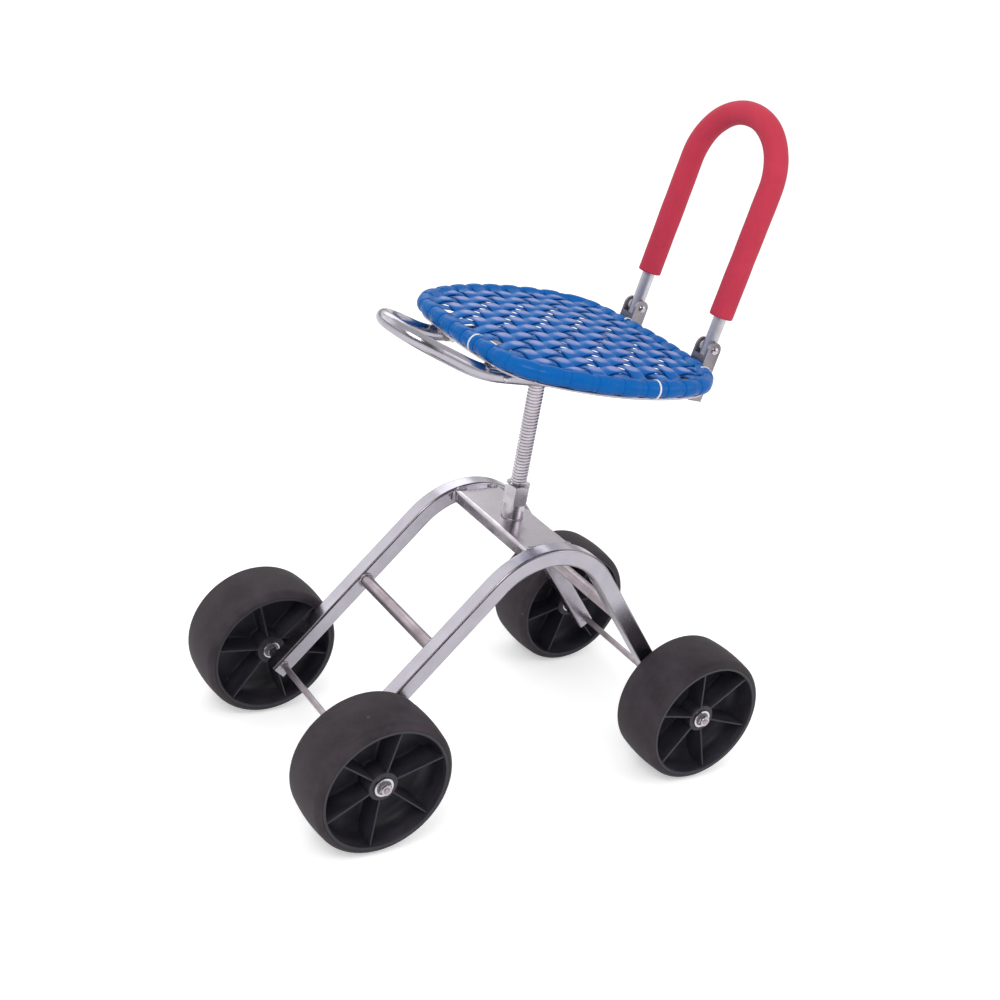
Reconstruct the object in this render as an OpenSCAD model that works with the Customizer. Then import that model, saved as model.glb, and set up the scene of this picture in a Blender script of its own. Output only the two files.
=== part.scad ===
/* [Wheels] */
// Diameter of a wheel over its tyre
wheel_d = 180; // [160:1:210]
// Width of a wheel
wheel_w = 80; // [60:1:90]
// Thickness of the tyre in the middle of its tread
tyre_t = 10; // [8:0.5:14]
// Radius of the tyre's shoulders
shoulder_r = 11; // [8:0.5:14]
// Rise of the tread from its shoulders to its middle
tread_crown = 2; // [0.5:0.1:4]
// Wall of the wheel's drum
drum_t = 4; // [2.5:0.5:6]
// Thickness of the web in the middle of the wheel
web_t = 5; // [3:0.5:8]
// Number of ribs on each side of the web
rib_count = 6; // [3:1:8]
// Thickness of a rib
rib_t = 2.4; // [1.6:0.2:4]
// Diameter of the wheel's boss
boss_d = 37; // [32:1:46]
// Depth of the boss below the wheel's face
boss_recess = 10; // [6:1:16]

/* [Axles] */
// Distance between the two axles
wheelbase = 467; // [420:1:520]
// Distance between the middles of the left and right wheels
track = 307; // [290:1:360]
// Diameter of the axle rods
axle_d = 8; // [6:0.5:10]
// Outer diameter of a wheel bearing
bearing_d = 22; // [19:1:26]
// Width of a wheel bearing
bearing_w = 7; // [6:0.5:9]
// Width across the flats of an axle nut
axle_nut_af = 13; // [12:0.5:17]
// Height of an axle nut
axle_nut_h = 6.5; // [5:0.5:8]
// Outer diameter of an axle washer
axle_washer_d = 24; // [18:1:30]
// Outer diameter of the bush between an arch and a bearing
bush_d = 13; // [11:0.5:15]

/* [Frame] */
// Width and depth of the square arch tube
arch_tube = 22; // [20:0.5:26]
// Wall of the square tube
arch_wall = 1.5; // [1:0.1:2.5]
// Outer corner radius of the square tube
arch_corner_r = 3; // [2:0.5:5]
// Bend radius of an arch to the middle of its tube
arch_r = 99; // [80:1:115]
// Height of the top of the arches above the ground
arch_top = 322; // [300:0.5:350]
// Distance from the left arch to the right arch, tube middle to tube middle
arch_gap = 190.5; // [170:0.5:200]
// Height of the axles above the middle line of the legs, square to the leg
axle_rise = 2; // [0:0.5:4]
// Length of a leg past its axle
leg_past = 12; // [10:1:20]
// Diameter of the round cross bars
bar_d = 16; // [12:0.5:20]
// Distance of the front cross bar down its leg from the end of the bend
front_bar_s = 105; // [60:1:130]
// Distance of the rear cross bar down its leg from the end of the bend
rear_bar_s = 92; // [60:1:130]

/* [Top plate and nut] */
// Depth of the top plate from front to rear
plate_l = 66; // [50:1:90]
// Thickness of the folded sheet
plate_t = 2.5; // [1.5:0.1:4]
// Depth of the folded flanges
flange_h = 15; // [10:1:24]
// Outer radius of the folds
fold_r = 4; // [3:0.5:6]
// Drop of the plate's face below the top of the arches
plate_drop = 6; // [3:0.5:9]
// Distance of the screw and the arches' tops behind the middle of the wheelbase
post_x = 10; // [0:1:20]
// Outer diameter of the socket tube
socket_d = 26; // [25:0.5:32]
// Height of the socket tube above the plate
socket_h = 20; // [10:1:40]
// Width across the flats of the thread nut
nut_af = 29; // [28:0.5:36]
// Turn of the thread nut as welded
nut_turn = -10; // [-30:1:30]
// Height of the thread nut
nut_h = 25.5; // [18:0.5:36]

/* [Screw] */
// Outer diameter of the lift screw
screw_d = 20; // [18:0.5:22]
// Rise of the screw in one turn
pitch = 4; // [2:0.5:6]
// Whole turns that the seat can still rise
turns_up = 6; // [2:1:10]

/* [Seat] */
// Height of the middle of the seat rim above the ground, on the screw's axis
seat_z = 552.8; // [540:0.1:620]
// Slope of the seat, falling to the rear
seat_slope = 4.4; // [0:0.1:6]
// Distance of the seat's middle behind the screw
seat_back = 20; // [5:0.5:30]
// Half the distance between the front and rear corner centres
corner_x = 72; // [60:1:90]
// Distance of the front corner centres from the middle line
corner_front_y = 69; // [50:1:80]
// Distance of the rear corner centres from the middle line
corner_rear_y = 89; // [70:1:110]
// Radius of the rim's corners
corner_r = 66; // [50:1:80]
// Radius of the rim's left and right sides
side_r = 242; // [200:1:600]
// Radius of the rim's front and rear sides
end_r = 650; // [300:1:900]
// Diameter of the steel rim tube
ring_d = 16; // [12:0.5:20]
// Wall of the steel rim tube
ring_wall = 1.2; // [0.8:0.1:2]
// Thickness of the strip wound on the rim
wrap_t = 1.5; // [1:0.1:3]
// Diameter of the rod under the rim
hoop_d = 4; // [3:0.5:6]
// Thickness of the woven panel at its edge
weave_t = 5; // [3:0.5:8]
// Rise of the woven panel at its middle
crown_h = 5; // [2:0.5:12]
// Width of a tie on the rim
tie_w = 2; // [1:0.2:4]

/* [Seat frame and bow] */
// Diameter of the bow tube
bow_d = 18.5; // [16:0.5:22]
// Wall of the bow tube
bow_wall = 1.5; // [1:0.1:2.5]
// Gap between the rod under the rim and the bow tube
bow_gap = 2.5; // [0.5:0.1:6]
// Distance of the nose of the bow in front of the screw
nose_x = 214; // [205:1:250]
// Half the width of the bow's outline at its nose, before it is rounded
nose_y = 42; // [36:1:50]
// Half the width of the bow at its rising bend
rise_y = 63; // [58:1:70]
// Angle of the rising nose to the seat
nose_rise = 19.5; // [5:0.5:26]
// Distance of the rising bend in front of the screw
rise_x = 123; // [105:1:130]
// Radius of the rising bend
rise_r = 156; // [80:1:180]
// Thickness of the mount plate
mount_t = 5; // [3:0.5:8]
// Length of the mount plate from front to rear
mount_l = 72; // [50:1:90]

/* [Handle] */
// Distance of the handle's pivots behind the screw
pivot_x = 187; // [182:0.5:200]
// Height of the handle's pivots above the middle of the rim
pivot_z = 21.6; // [18:0.1:34]
// Distance between the handle's legs, middle to middle
handle_gap = 148.4; // [130:0.2:170]
// Height of the handle's top above its pivots
handle_h = 270; // [200:1:330]
// Lean of the upright handle from square to the seat
handle_lean = 6.6; // [0:0.1:15]
// Diameter of the handle tube
handle_d = 16; // [12:0.5:18]
// Wall of the handle tube
handle_wall = 1.2; // [0.8:0.1:2]
// Bend radius of the handle
handle_bend_r = 73; // [50:1:74]
// Outer diameter of the foam grip
foam_d = 29; // [22:0.5:34]
// Start of the foam above the left pivot
foam_left = 39.5; // [25:0.5:80]
// Start of the foam above the right pivot
foam_right = 46; // [25:0.5:80]
// Thickness of a bracket's ears
ear_t = 3; // [2:0.5:5]
// Width of a bracket's ears
ear_w = 20; // [16:0.5:24]
// Diameter of the pivot bolts
pivot_bolt_d = 6; // [5:0.5:8]

/* [Hidden] */
$fn = 64;

// Clearances and the overrun of all cuts
running_gap = 0.05;    // radial gap of a shaft in its hole
face_gap = 0.3;        // gap between faces of pieces that move apart
over = 1;
hair = 0.06;           // step between two arcs that are joined by a lap
lap = 0.4;
crown_steps = 8;
steel = "silver";
chrome = "gainsboro";
rubber_dark = "dimgray";
plastic_dark = "darkslategray";
strip_blue = "royalblue";
grip_red = "crimson";

// Places that follow from the sizes above
wheel_r = wheel_d / 2;
axle_r = axle_d / 2;
half_base = wheelbase / 2;
half_track = track / 2;
drum_r = wheel_r - tyre_t;
boss_end = wheel_w / 2 - boss_recess;
bearing_shoulder = (bearing_d - axle_d) * 0.15;
washer_t = axle_d / 5;
arch_y = arch_gap / 2;
arch_side = arch_y + arch_tube / 2;
arch_inside = arch_y - arch_tube / 2;
plate_top = arch_top - plate_drop;
plate_under = plate_top - plate_t;
nut_bottom = plate_top + socket_h;
nut_top = nut_bottom + nut_h;

// The line of a leg touches the bend's circle and passes under the axle; side is -1 in front, 1 behind
arch_centre_z = arch_top - arch_tube / 2 - arch_r;
leg_rise = arch_centre_z - wheel_r;
function leg_span(side) = half_base - side * post_x;
function leg_angle(side) =
    atan2(leg_rise, leg_span(side)) + asin((arch_r + axle_rise) / norm([leg_span(side), leg_rise]));
function leg_length(side) = sqrt(pow(leg_span(side), 2) + pow(leg_rise, 2) - pow(arch_r + axle_rise, 2));
function leg_point(side, s) =
    let (a = leg_angle(side))
    [side * (arch_r * sin(a) + s * cos(a)), 0, arch_centre_z + arch_r * cos(a) - s * sin(a)];

// The screw hangs below the plate by the travel that is left, with its stop washer and bolt
lift_up = turns_up * pitch;
stop_t = screw_d * 0.15;
stop_d = screw_d * 1.5;
stop_bolt_d = screw_d * 0.4;
stop_head_af = stop_bolt_d * 1.625;
stop_head_h = stop_bolt_d * 0.66;
stop_top = plate_under - lift_up - face_gap;
screw_bottom = stop_top + face_gap;
stop_head_top = stop_top - stop_t - face_gap;

// The seat's own frame has its origin on the screw's axis at the middle of the rim
rim_r = ring_d / 2 + wrap_t;
hoop_z = -rim_r - hoop_d / 2;
bow_r = bow_d / 2;
bow_z = hoop_z - hoop_d / 2 - bow_gap - bow_r;
mount_z = bow_z - mount_t / 2;
pivot_y = handle_gap / 2;
screw_top = seat_z + mount_z + mount_t + (screw_d + mount_t) * sin(seat_slope);

// Corner centres of the rim, anticlockwise from the rear right, and the arcs between them
rim_corners = [[seat_back + corner_x, corner_rear_y], [seat_back - corner_x, corner_front_y],
               [seat_back - corner_x, -corner_front_y], [seat_back + corner_x, -corner_rear_y]];
side_radii = [side_r, end_r, side_r, end_r];

function turn_left(v) = [-v[1], v[0]];
function unit(v) = v / norm(v);
function angle_of(v) = atan2(v[1], v[0]);
function arc_centre(p, q, r) =
    (p + q) / 2 + turn_left(unit(q - p)) * sqrt(pow(r - corner_r, 2) - pow(norm(q - p) / 2, 2));
side_centres = [for (i = [0:3]) arc_centre(rim_corners[i], rim_corners[(i + 1) % 4], side_radii[i])];
function forward(a, b) = b < a ? forward(a, b + 360) : b;

// Each arc of the rim as centre, radius, start angle and end angle
rim_arcs = [for (i = [0:3]) for (part = [0, 1])
    let (here = rim_corners[i], next = rim_corners[(i + 1) % 4], before = side_centres[(i + 3) % 4],
         a = part == 0 ? angle_of(here - before) : angle_of(here - side_centres[i]),
         b = part == 0 ? angle_of(here - side_centres[i]) : angle_of(next - side_centres[i]))
    [part == 0 ? here : side_centres[i], part == 0 ? corner_r : side_radii[i], a, forward(a, b)]];

// Places of the ties as an arc of the rim and a share along it
tie_shares = [[3, 0.73], [5, 0.66], [6, 0.8], [7, 0.78]];

// Path of one side of the bow, from its rear end to its nose
knee_x = rise_x * 0.36;
knee_r = bow_d * 10;
nose_z = bow_z + (nose_x - rise_x) * tan(nose_rise);
bow_end_x = pivot_x - ear_w * 0.2;
bow_half = [[bow_end_x, pivot_y, bow_z], [-knee_x, pivot_y, bow_z],
            [-rise_x, rise_y, bow_z], [-nose_x, nose_y, nose_z]];
bow_path = concat([for (p = bow_half) p],
                  [for (i = [3:-1:0]) [bow_half[i][0], -bow_half[i][1], bow_half[i][2]]]);

// The nose is one arc, a little short of the point where its two bends would meet
nose_turn = acos(unit(bow_half[3] - bow_half[2]) * [0, -1, 0]);
nose_r = 0.98 * nose_y / tan(nose_turn / 2);
bow_radii = [0, knee_r, rise_r, nose_r, nose_r, rise_r, knee_r, 0];

// Lugs under the rim: [distance behind the screw, which way the lug points]
lug_l = ring_d * 1.4;
lug_t = ear_t;
front_lug_x = seat_back - corner_x - corner_r;
rear_lug_x = seat_back + corner_x + corner_r;
lug_bolt_d = pivot_bolt_d;
// The front lugs lie along the legs, which run inwards there
front_lug_turn = atan((pivot_y - rise_y) / (rise_x - knee_x));

function leg_y(x) = x > -knee_x ? pivot_y : pivot_y - (pivot_y - rise_y) * (-knee_x - x) / (rise_x - knee_x);

// Handle pieces
tail_l = handle_d * 0.9;
head_d = pivot_bolt_d * 1.75;
head_h = pivot_bolt_d * 0.55;
ear_inside = bow_r;
ear_outside = ear_inside + ear_t;
pivot_washer_d = pivot_bolt_d * 2.2;
pivot_washer_t = ear_inside - handle_d / 2 - face_gap;
ear_foot = bow_z - bow_r * 1.95;

// The section of a bar, or of a tube with a bore
module ring_section(r, bore) {
    difference() {
        circle(r = r);
        if (bore > 0) circle(r = bore);
    }
}

// A straight run of bar or tube from a to b
module run(a, b, r, bore) {
    d = b - a;
    translate(a) rotate([0, acos(d[2] / norm(d)), atan2(d[1], d[0])])
        linear_extrude(norm(d)) ring_section(r, bore);
}

// A bend of radius bend_r at the corner v between a and b, a hair thinner than the runs it laps
module bend(a, v, b, bend_r, r, bore) {
    u = unit(v - a);
    w = unit(b - v);
    angle = acos(u * w);
    n = unit(w - u * (u * w));
    c = v - u * bend_r * tan(angle / 2) + n * bend_r;
    z = cross(-n, u);
    spare = atan(lap / bend_r);
    multmatrix([[-n[0], u[0], z[0], c[0]], [-n[1], u[1], z[1], c[1]],
                [-n[2], u[2], z[2], c[2]], [0, 0, 0, 1]])
        rotate([0, 0, -spare]) rotate_extrude(angle = angle + 2 * spare)
            translate([bend_r, 0]) ring_section(r - hair, bore > 0 ? bore + hair : 0);
}

function trim(a, v, b, bend_r) = bend_r * tan(acos(unit(v - a) * unit(b - v)) / 2);

// A bar or tube bent along a path, with one bend radius for each inner point
module bent_bar(path, radii, r, bore) {
    last = len(path) - 1;
    for (i = [0:last - 1]) {
        d = unit(path[i + 1] - path[i]);
        start = i == 0 ? 0 : trim(path[i - 1], path[i], path[i + 1], radii[i]);
        stop = i == last - 1 ? 0 : trim(path[i], path[i + 1], path[i + 2], radii[i + 1]);
        run(path[i] + d * start, path[i + 1] - d * stop, r, bore);
        if (i > 0) bend(path[i - 1], path[i], path[i + 1], radii[i], r, bore);
    }
}

// A round bar, ring or bore along Y, from y0 to y1
module along_y(y0, y1, r) {
    translate([0, y1, 0]) rotate([90, 0, 0]) cylinder(h = y1 - y0, r = r);
}

module hex_along_y(y0, y1, af) {
    translate([0, y1, 0]) rotate([90, 0, 0]) rotate([0, 0, 30])
        cylinder(h = y1 - y0, d = af / cos(30), $fn = 6);
}

module at_axles() {
    for (side = [-1, 1]) translate([side * half_base, 0, wheel_r]) children();
}

module at_wheel_ends() {
    at_axles() for (side = [-1, 1]) mirror([0, side < 0 ? 1 : 0, 0]) children();
}

module on_seat() {
    translate([post_x, 0, seat_z]) rotate([0, seat_slope, 0]) children();
}

module on_handle() {
    on_seat() translate([pivot_x, 0, pivot_z]) rotate([0, handle_lean, 0]) children();
}

// Square tube section with round corners
module tube_section(width, corner) {
    half = width / 2;
    square([width, width - 2 * corner], center = true);
    square([width - 2 * corner, width], center = true);
    for (x = [-1, 1], y = [-1, 1]) translate([x * (half - corner), y * (half - corner)]) circle(r = corner);
}

module arch_solid(width, corner, past) {
    spare = atan(lap / arch_r);
    turn = leg_angle(-1) + leg_angle(1) + 2 * spare;
    translate([post_x, 0, 0]) {
        translate([0, 0, arch_centre_z]) rotate([90, 0, 0]) rotate([0, 0, 90 - leg_angle(1) - spare])
            rotate_extrude(angle = turn) translate([arch_r, 0]) tube_section(width - 2 * hair, corner);
        for (side = [-1, 1]) translate(leg_point(side, 0)) rotate([0, side * (90 + leg_angle(side)), 0])
            linear_extrude(leg_length(side) + leg_past + past) tube_section(width, corner);
    }
}

module arch(y) {
    color(steel) difference() {
        translate([0, y, 0]) difference() {
            arch_solid(arch_tube, arch_corner_r, 0);
            arch_solid(arch_tube - 2 * arch_wall, arch_corner_r - arch_wall, over);
        }
        at_axles() along_y(y - arch_tube, y + arch_tube, axle_r);
    }
}

module left_arch() { arch(-arch_y); }
module right_arch() { arch(arch_y); }

// The folded sheet between the arches, with a hole for the screw
module plate_section() {
    translate([fold_r, 0]) square([plate_l - 2 * fold_r, plate_t]);
    for (side = [0, 1]) translate([side * plate_l, 0]) mirror([side, 0]) {
        translate([0, -flange_h + plate_t]) square([plate_t, flange_h - fold_r]);
        intersection() {
            translate([fold_r, plate_t - fold_r]) ring_section(fold_r, fold_r - plate_t);
            translate([0, plate_t - fold_r]) square(fold_r);
        }
    }
}

module top_plate() {
    color(chrome) difference() {
        translate([post_x - plate_l / 2, arch_inside, plate_under]) rotate([90, 0, 0])
            linear_extrude(2 * arch_inside) plate_section();
        translate([post_x, 0, plate_under - over]) cylinder(h = plate_t + 2 * over, d = screw_d + 2 * face_gap);
    }
}

module cross_bar(side, s) {
    color(steel) translate([post_x, 0, 0]) translate(leg_point(side, s))
        along_y(-arch_inside, arch_inside, bar_d / 2);
}

module front_cross_bar() { cross_bar(-1, front_bar_s); }
module rear_cross_bar() { cross_bar(1, rear_bar_s); }

module screw_hole(z0, z1) {
    translate([post_x, 0, z0]) cylinder(h = z1 - z0, r = screw_d / 2 + running_gap);
}

module socket_tube() {
    color(chrome) difference() {
        translate([post_x, 0, plate_top]) cylinder(h = socket_h, d = socket_d);
        screw_hole(plate_top - over, nut_bottom + over);
    }
}

// Hexagon nut with its upper corners turned off, and a countersink for the screw
module thread_nut() {
    nut_r = nut_af / cos(30) / 2;
    turned_r = nut_af * 0.6;
    corner_h = (turned_r - nut_af / 2) / 2;
    color(chrome) difference() {
        translate([post_x, 0, 0]) intersection() {
            translate([0, 0, nut_bottom]) rotate([0, 0, nut_turn]) cylinder(h = nut_h, r = nut_r, $fn = 6);
            translate([0, 0, nut_bottom]) rotate_extrude()
                polygon([[0, 0], [nut_af / 2, 0], [turned_r, corner_h], [turned_r, nut_h - corner_h],
                         [nut_af / 2, nut_h], [0, nut_h]]);
        }
        screw_hole(nut_bottom - over, nut_top + over);
        translate([post_x, 0, nut_top - nut_af / 12]) rotate_extrude()
            polygon([[0, 0], [screw_d / 2 + running_gap, 0], [screw_d / 2 + nut_af / 12, nut_af / 12],
                     [screw_d / 2 + nut_af / 12, nut_af / 12 + over], [0, nut_af / 12 + over]]);
    }
}

// Where the outer face of an outer bearing lies, and what stacks outside it
washer_y = half_track + boss_end + face_gap;
nut_y = washer_y + washer_t;
axle_end = nut_y + axle_nut_h + axle_d / 5;

module axle(x) {
    color(steel) translate([x, 0, wheel_r]) {
        along_y(-axle_end + axle_d / 8, axle_end - axle_d / 8, axle_r);
        for (side = [-1, 1]) rotate([side * 90, 0, 0]) translate([0, 0, -axle_end])
            cylinder(h = axle_d / 8, r1 = axle_r * 0.8, r2 = axle_r);
    }
}

module front_axle() { axle(-half_base); }
module rear_axle() { axle(half_base); }

module axle_bushes() {
    color(steel) at_wheel_ends() difference() {
        along_y(arch_side, half_track - boss_end - face_gap, bush_d / 2);
        along_y(arch_side - over, half_track, axle_r);
    }
}

module axle_washers() {
    color(chrome) at_wheel_ends() difference() {
        along_y(washer_y, nut_y, axle_washer_d / 2);
        along_y(washer_y - over, nut_y + over, axle_r);
    }
}

module axle_nuts() {
    color(chrome) at_wheel_ends() difference() {
        intersection() {
            hex_along_y(nut_y, nut_y + axle_nut_h, axle_nut_af);
            union() {
                along_y(nut_y, nut_y + axle_nut_h / 2, axle_nut_af);
                translate([0, nut_y + axle_nut_h / 2, 0]) rotate([-90, 0, 0])
                    cylinder(h = axle_nut_h / 2, r1 = axle_nut_af * 0.66, r2 = axle_nut_af / 2);
            }
        }
        along_y(nut_y - over, axle_end + over, axle_r);
    }
}

// Wheel pieces about the wheel's own middle, with the axle along Y
module tyre() {
    half_tread = wheel_w / 2 - shoulder_r;
    crown_r = (half_tread * half_tread + tread_crown * tread_crown) / 2 / tread_crown;
    color(rubber_dark) rotate([90, 0, 0]) rotate_extrude($fn = 96) intersection() {
        union() {
            translate([drum_r, -half_tread]) square([tyre_t, 2 * half_tread]);
            for (side = [-1, 1]) translate([wheel_r - tread_crown - shoulder_r, side * half_tread])
                circle(r = shoulder_r);
        }
        translate([drum_r, -wheel_w / 2]) square([tyre_t, wheel_w]);
        translate([wheel_r - crown_r, 0]) circle(r = crown_r, $fn = 720);
    }
}

module hub_section() {
    lip = drum_t / 8;
    bore = bearing_d / 2 - bearing_shoulder;
    translate([drum_r - drum_t, -wheel_w / 2 + lip]) square([drum_t, wheel_w - 2 * lip]);
    translate([bore, -web_t / 2]) square([drum_r - drum_t / 2 - bore, web_t]);
    translate([bore, -boss_end]) square([boss_d / 2 - bore, 2 * boss_end]);
}

// The ribs on both sides of the web, lower at the boss than at the drum
module ribs() {
    rim_face = wheel_w / 2 - drum_t;
    inner = boss_d / 2 - drum_t / 2;
    outer = drum_r - drum_t / 2;
    intersection() {
        rotate([90, 0, 0]) rotate_extrude($fn = 96)
            polygon([[inner, -boss_end], [outer, -rim_face], [outer, rim_face], [inner, boss_end]]);
        for (i = [0:rib_count - 1]) rotate([0, i * 360 / rib_count, 0])
            translate([0, -wheel_w / 2, -rib_t / 2]) cube([wheel_r, wheel_w, rib_t]);
    }
}

module hub(phase) {
    color(plastic_dark) difference() {
        union() {
            rotate([90, 0, 0]) rotate_extrude($fn = 96) hub_section();
            rotate([0, phase, 0]) ribs();
        }
        for (side = [-1, 1]) mirror([0, side < 0 ? 1 : 0, 0])
            along_y(boss_end - bearing_w, boss_end + over, bearing_d / 2);
    }
}

// A ball bearing with its two races and the recessed seal between them
module bearings() {
    groove = bearing_w / 16;
    seal_in = axle_r + (bearing_d / 2 - axle_r) * 0.25;
    seal_out = axle_r + (bearing_d / 2 - axle_r) * 0.78;
    for (side = [-1, 1]) mirror([0, side < 0 ? 1 : 0, 0])
        color(chrome) difference() {
            along_y(boss_end - bearing_w, boss_end, bearing_d / 2);
            along_y(0, boss_end + over, axle_r + running_gap);
            difference() {
                along_y(boss_end - groove, boss_end + over, seal_out);
                along_y(0, boss_end + 2 * over, seal_in);
            }
        }
}

module at_wheel(front, left) {
    translate([front * half_base, left * half_track, wheel_r]) children();
}

// Turn of the ribs of each wheel as it stands
rib_turn = [37, 12, 18, 50];

module front_left_tyre() { at_wheel(-1, -1) tyre(); }
module front_right_tyre() { at_wheel(-1, 1) tyre(); }
module rear_left_tyre() { at_wheel(1, -1) tyre(); }
module rear_right_tyre() { at_wheel(1, 1) tyre(); }
module front_left_hub() { at_wheel(-1, -1) hub(rib_turn[0]); }
module front_right_hub() { at_wheel(-1, 1) hub(rib_turn[1]); }
module rear_left_hub() { at_wheel(1, -1) hub(rib_turn[2]); }
module rear_right_hub() { at_wheel(1, 1) hub(rib_turn[3]); }
module front_left_bearings() { at_wheel(-1, -1) bearings(); }
module front_right_bearings() { at_wheel(-1, 1) bearings(); }
module rear_left_bearings() { at_wheel(1, -1) bearings(); }
module rear_right_bearings() { at_wheel(1, 1) bearings(); }

// The loose washer that stops the screw from being wound out
module stop_washer() {
    color(steel) translate([post_x, 0, stop_top - stop_t]) difference() {
        cylinder(h = stop_t, d = stop_d);
        translate([0, 0, -over]) cylinder(h = stop_t + 2 * over, r = stop_bolt_d / 2 + running_gap);
    }
}

module stop_bolt() {
    color(chrome) translate([post_x, 0, 0]) {
        translate([0, 0, stop_head_top]) cylinder(h = screw_bottom - stop_head_top, d = stop_bolt_d);
        translate([0, 0, stop_head_top - stop_head_h])
            cylinder(h = stop_head_h, d = stop_head_af / cos(30), $fn = 6);
    }
}

module lift_screw() {
    chamfer = pitch / 4;
    color(steel) translate([post_x, 0, 0]) {
        translate([0, 0, screw_bottom]) cylinder(h = chamfer, r1 = screw_d / 2 - chamfer, r2 = screw_d / 2);
        translate([0, 0, screw_bottom + chamfer])
            cylinder(h = screw_top - screw_bottom - chamfer, d = screw_d);
    }
}

module seat_axis_bore(z0, z1, r) {
    rotate([0, -seat_slope, 0]) translate([0, 0, z0]) cylinder(h = z1 - z0, r = r);
}

module mount_plate() {
    reach = pivot_y - bow_r;
    color(steel) on_seat() difference() {
        translate([-mount_l / 2, -reach, mount_z]) cube([mount_l, 2 * reach, mount_t]);
        seat_axis_bore(mount_z - screw_d, mount_z + screw_d, screw_d / 2);
    }
}

module bow_frame() {
    color(chrome) on_seat() difference() {
        bent_bar(bow_path, bow_radii, bow_r, bow_r - bow_wall);
        at_lug_bolts() along_y(-bow_d, bow_d, lug_bolt_d / 2);
    }
}

// One arc of the rim; the side arcs are a hair thinner and run a little way into the corner arcs
module rim_arc(i, r, bore) {
    arc = rim_arcs[i];
    side = i % 2;
    spare = side * atan(lap / arc[1]);
    translate([arc[0][0], arc[0][1], 0]) rotate([0, 0, arc[2] - spare])
        rotate_extrude(angle = arc[3] - arc[2] + 2 * spare, $fn = side == 1 ? 360 : 96)
            translate([arc[1], 0]) difference() {
                circle(r = r - side * hair, $fn = 48);
                if (bore > 0) circle(r = bore + side * hair, $fn = 48);
            }
}

// The closed rim as a bar or a tube
module rim_bar(r, bore) {
    for (i = [0:7]) rim_arc(i, r, bore);
}

module seat_ring() { color(steel) on_seat() rim_bar(ring_d / 2, ring_d / 2 - ring_wall); }
module rim_wrap() { color(strip_blue) on_seat() rim_bar(rim_r, ring_d / 2); }
module rim_hoop() { color(chrome) on_seat() translate([0, 0, hoop_z]) rim_bar(hoop_d / 2, 0); }

function arc_points(arc, inset, n) =
    [for (i = [0:n - 1]) let (a = arc[2] + (arc[3] - arc[2]) * i / n)
        arc[0] + (arc[1] - inset) * [cos(a), sin(a)]];

// The woven panel, crowned at its middle
module seat_weave() {
    outline = [for (arc = rim_arcs) each arc_points(arc, rim_r + running_gap, 10)];
    reach = norm([corner_x, corner_rear_y]) + corner_r;
    crown = [for (i = [0:crown_steps]) reach * 1.1 * i / crown_steps];
    base = weave_t * 0.3;
    color(strip_blue) on_seat() intersection() {
        translate([0, 0, base]) linear_extrude(weave_t + 2 * crown_h) polygon(outline);
        translate([seat_back, 0, base]) rotate_extrude($fn = 96)
            polygon(concat([[0, -weave_t], [crown[crown_steps], -weave_t]],
                           [for (i = [crown_steps:-1:0])
                               [crown[i], weave_t + crown_h * (1 - pow(crown[i] / reach, 2))]]));
    }
}

// A white tie over the outside of the rim
module rim_tie(arc, share) {
    a = arc[2] + (arc[3] - arc[2]) * share;
    translate([arc[0][0], arc[0][1], 0]) rotate([0, 0, a]) translate([arc[1], 0, 0])
        rotate([90, 0, 0]) rotate([0, 0, -80]) rotate_extrude(angle = 200)
            translate([rim_r, -tie_w / 2]) square([tie_w / 2, tie_w]);
}

module rim_ties() {
    color("white") on_seat() for (t = tie_shares) rim_tie(rim_arcs[t[0]], t[1]);
}

// Place of one lug on its leg, with Y pointing out of the leg; end is -1 in front and 1 at the rear
module at_lug(end, side) {
    x = end < 0 ? front_lug_x + lug_l : rear_lug_x - lug_l;
    mirror([0, side, 0]) translate([x, leg_y(x), bow_z])
        rotate([0, 0, end < 0 ? front_lug_turn : 0]) children();
}

module at_lug_bolts() {
    for (end = [-1, 1], side = [0, 1]) at_lug(end, side) children();
}

// A lug welded to the rod under the rim and bolted to the inside of a leg
module lug(reach) {
    top = hoop_z + hoop_d / 4 - bow_z;
    difference() {
        union() {
            translate([-lug_l / 3, -bow_r - lug_t, -bow_r * 0.6]) cube([lug_l / 1.5, lug_t, top + bow_r * 0.6]);
            translate([min(0, reach), -bow_r - lug_t, bow_r * 0.5]) cube([abs(reach), lug_t, top - bow_r * 0.5]);
        }
        along_y(-bow_d, 0, lug_bolt_d / 2);
    }
}

module seat_lugs() {
    color(steel) on_seat() for (end = [-1, 1], side = [0, 1])
        difference() {
            at_lug(end, side) lug(end * lug_l);
            translate([0, 0, hoop_z]) rim_bar(hoop_d / 2, 0);
        }
}

// A button-headed bolt along Y with its head at the low end
module button_bolt(head_y, end_y, d) {
    along_y(head_y, end_y, d / 2);
    translate([0, head_y, 0]) rotate([90, 0, 0]) intersection() {
        cylinder(h = head_h, d = head_d);
        translate([0, 0, head_h - head_d * 0.62]) sphere(r = head_d * 0.62);
    }
}

module hex_nut(y0, y1, af, bore) {
    difference() {
        hex_along_y(y0, y1, af);
        along_y(y0 - over, y1 + over, bore / 2);
    }
}

module seat_bolts() {
    length = 2 * bow_r + lug_t + lug_bolt_d * 1.2;
    color(chrome) on_seat() at_lug_bolts() mirror([0, 1, 0])
        button_bolt(-bow_r, length - bow_r, lug_bolt_d);
}

module seat_nuts() {
    color(chrome) on_seat() at_lug_bolts() mirror([0, 1, 0])
        hex_nut(bow_r + lug_t, bow_r + lug_t + lug_bolt_d * 0.8, lug_bolt_d * 1.65, lug_bolt_d);
}

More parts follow.
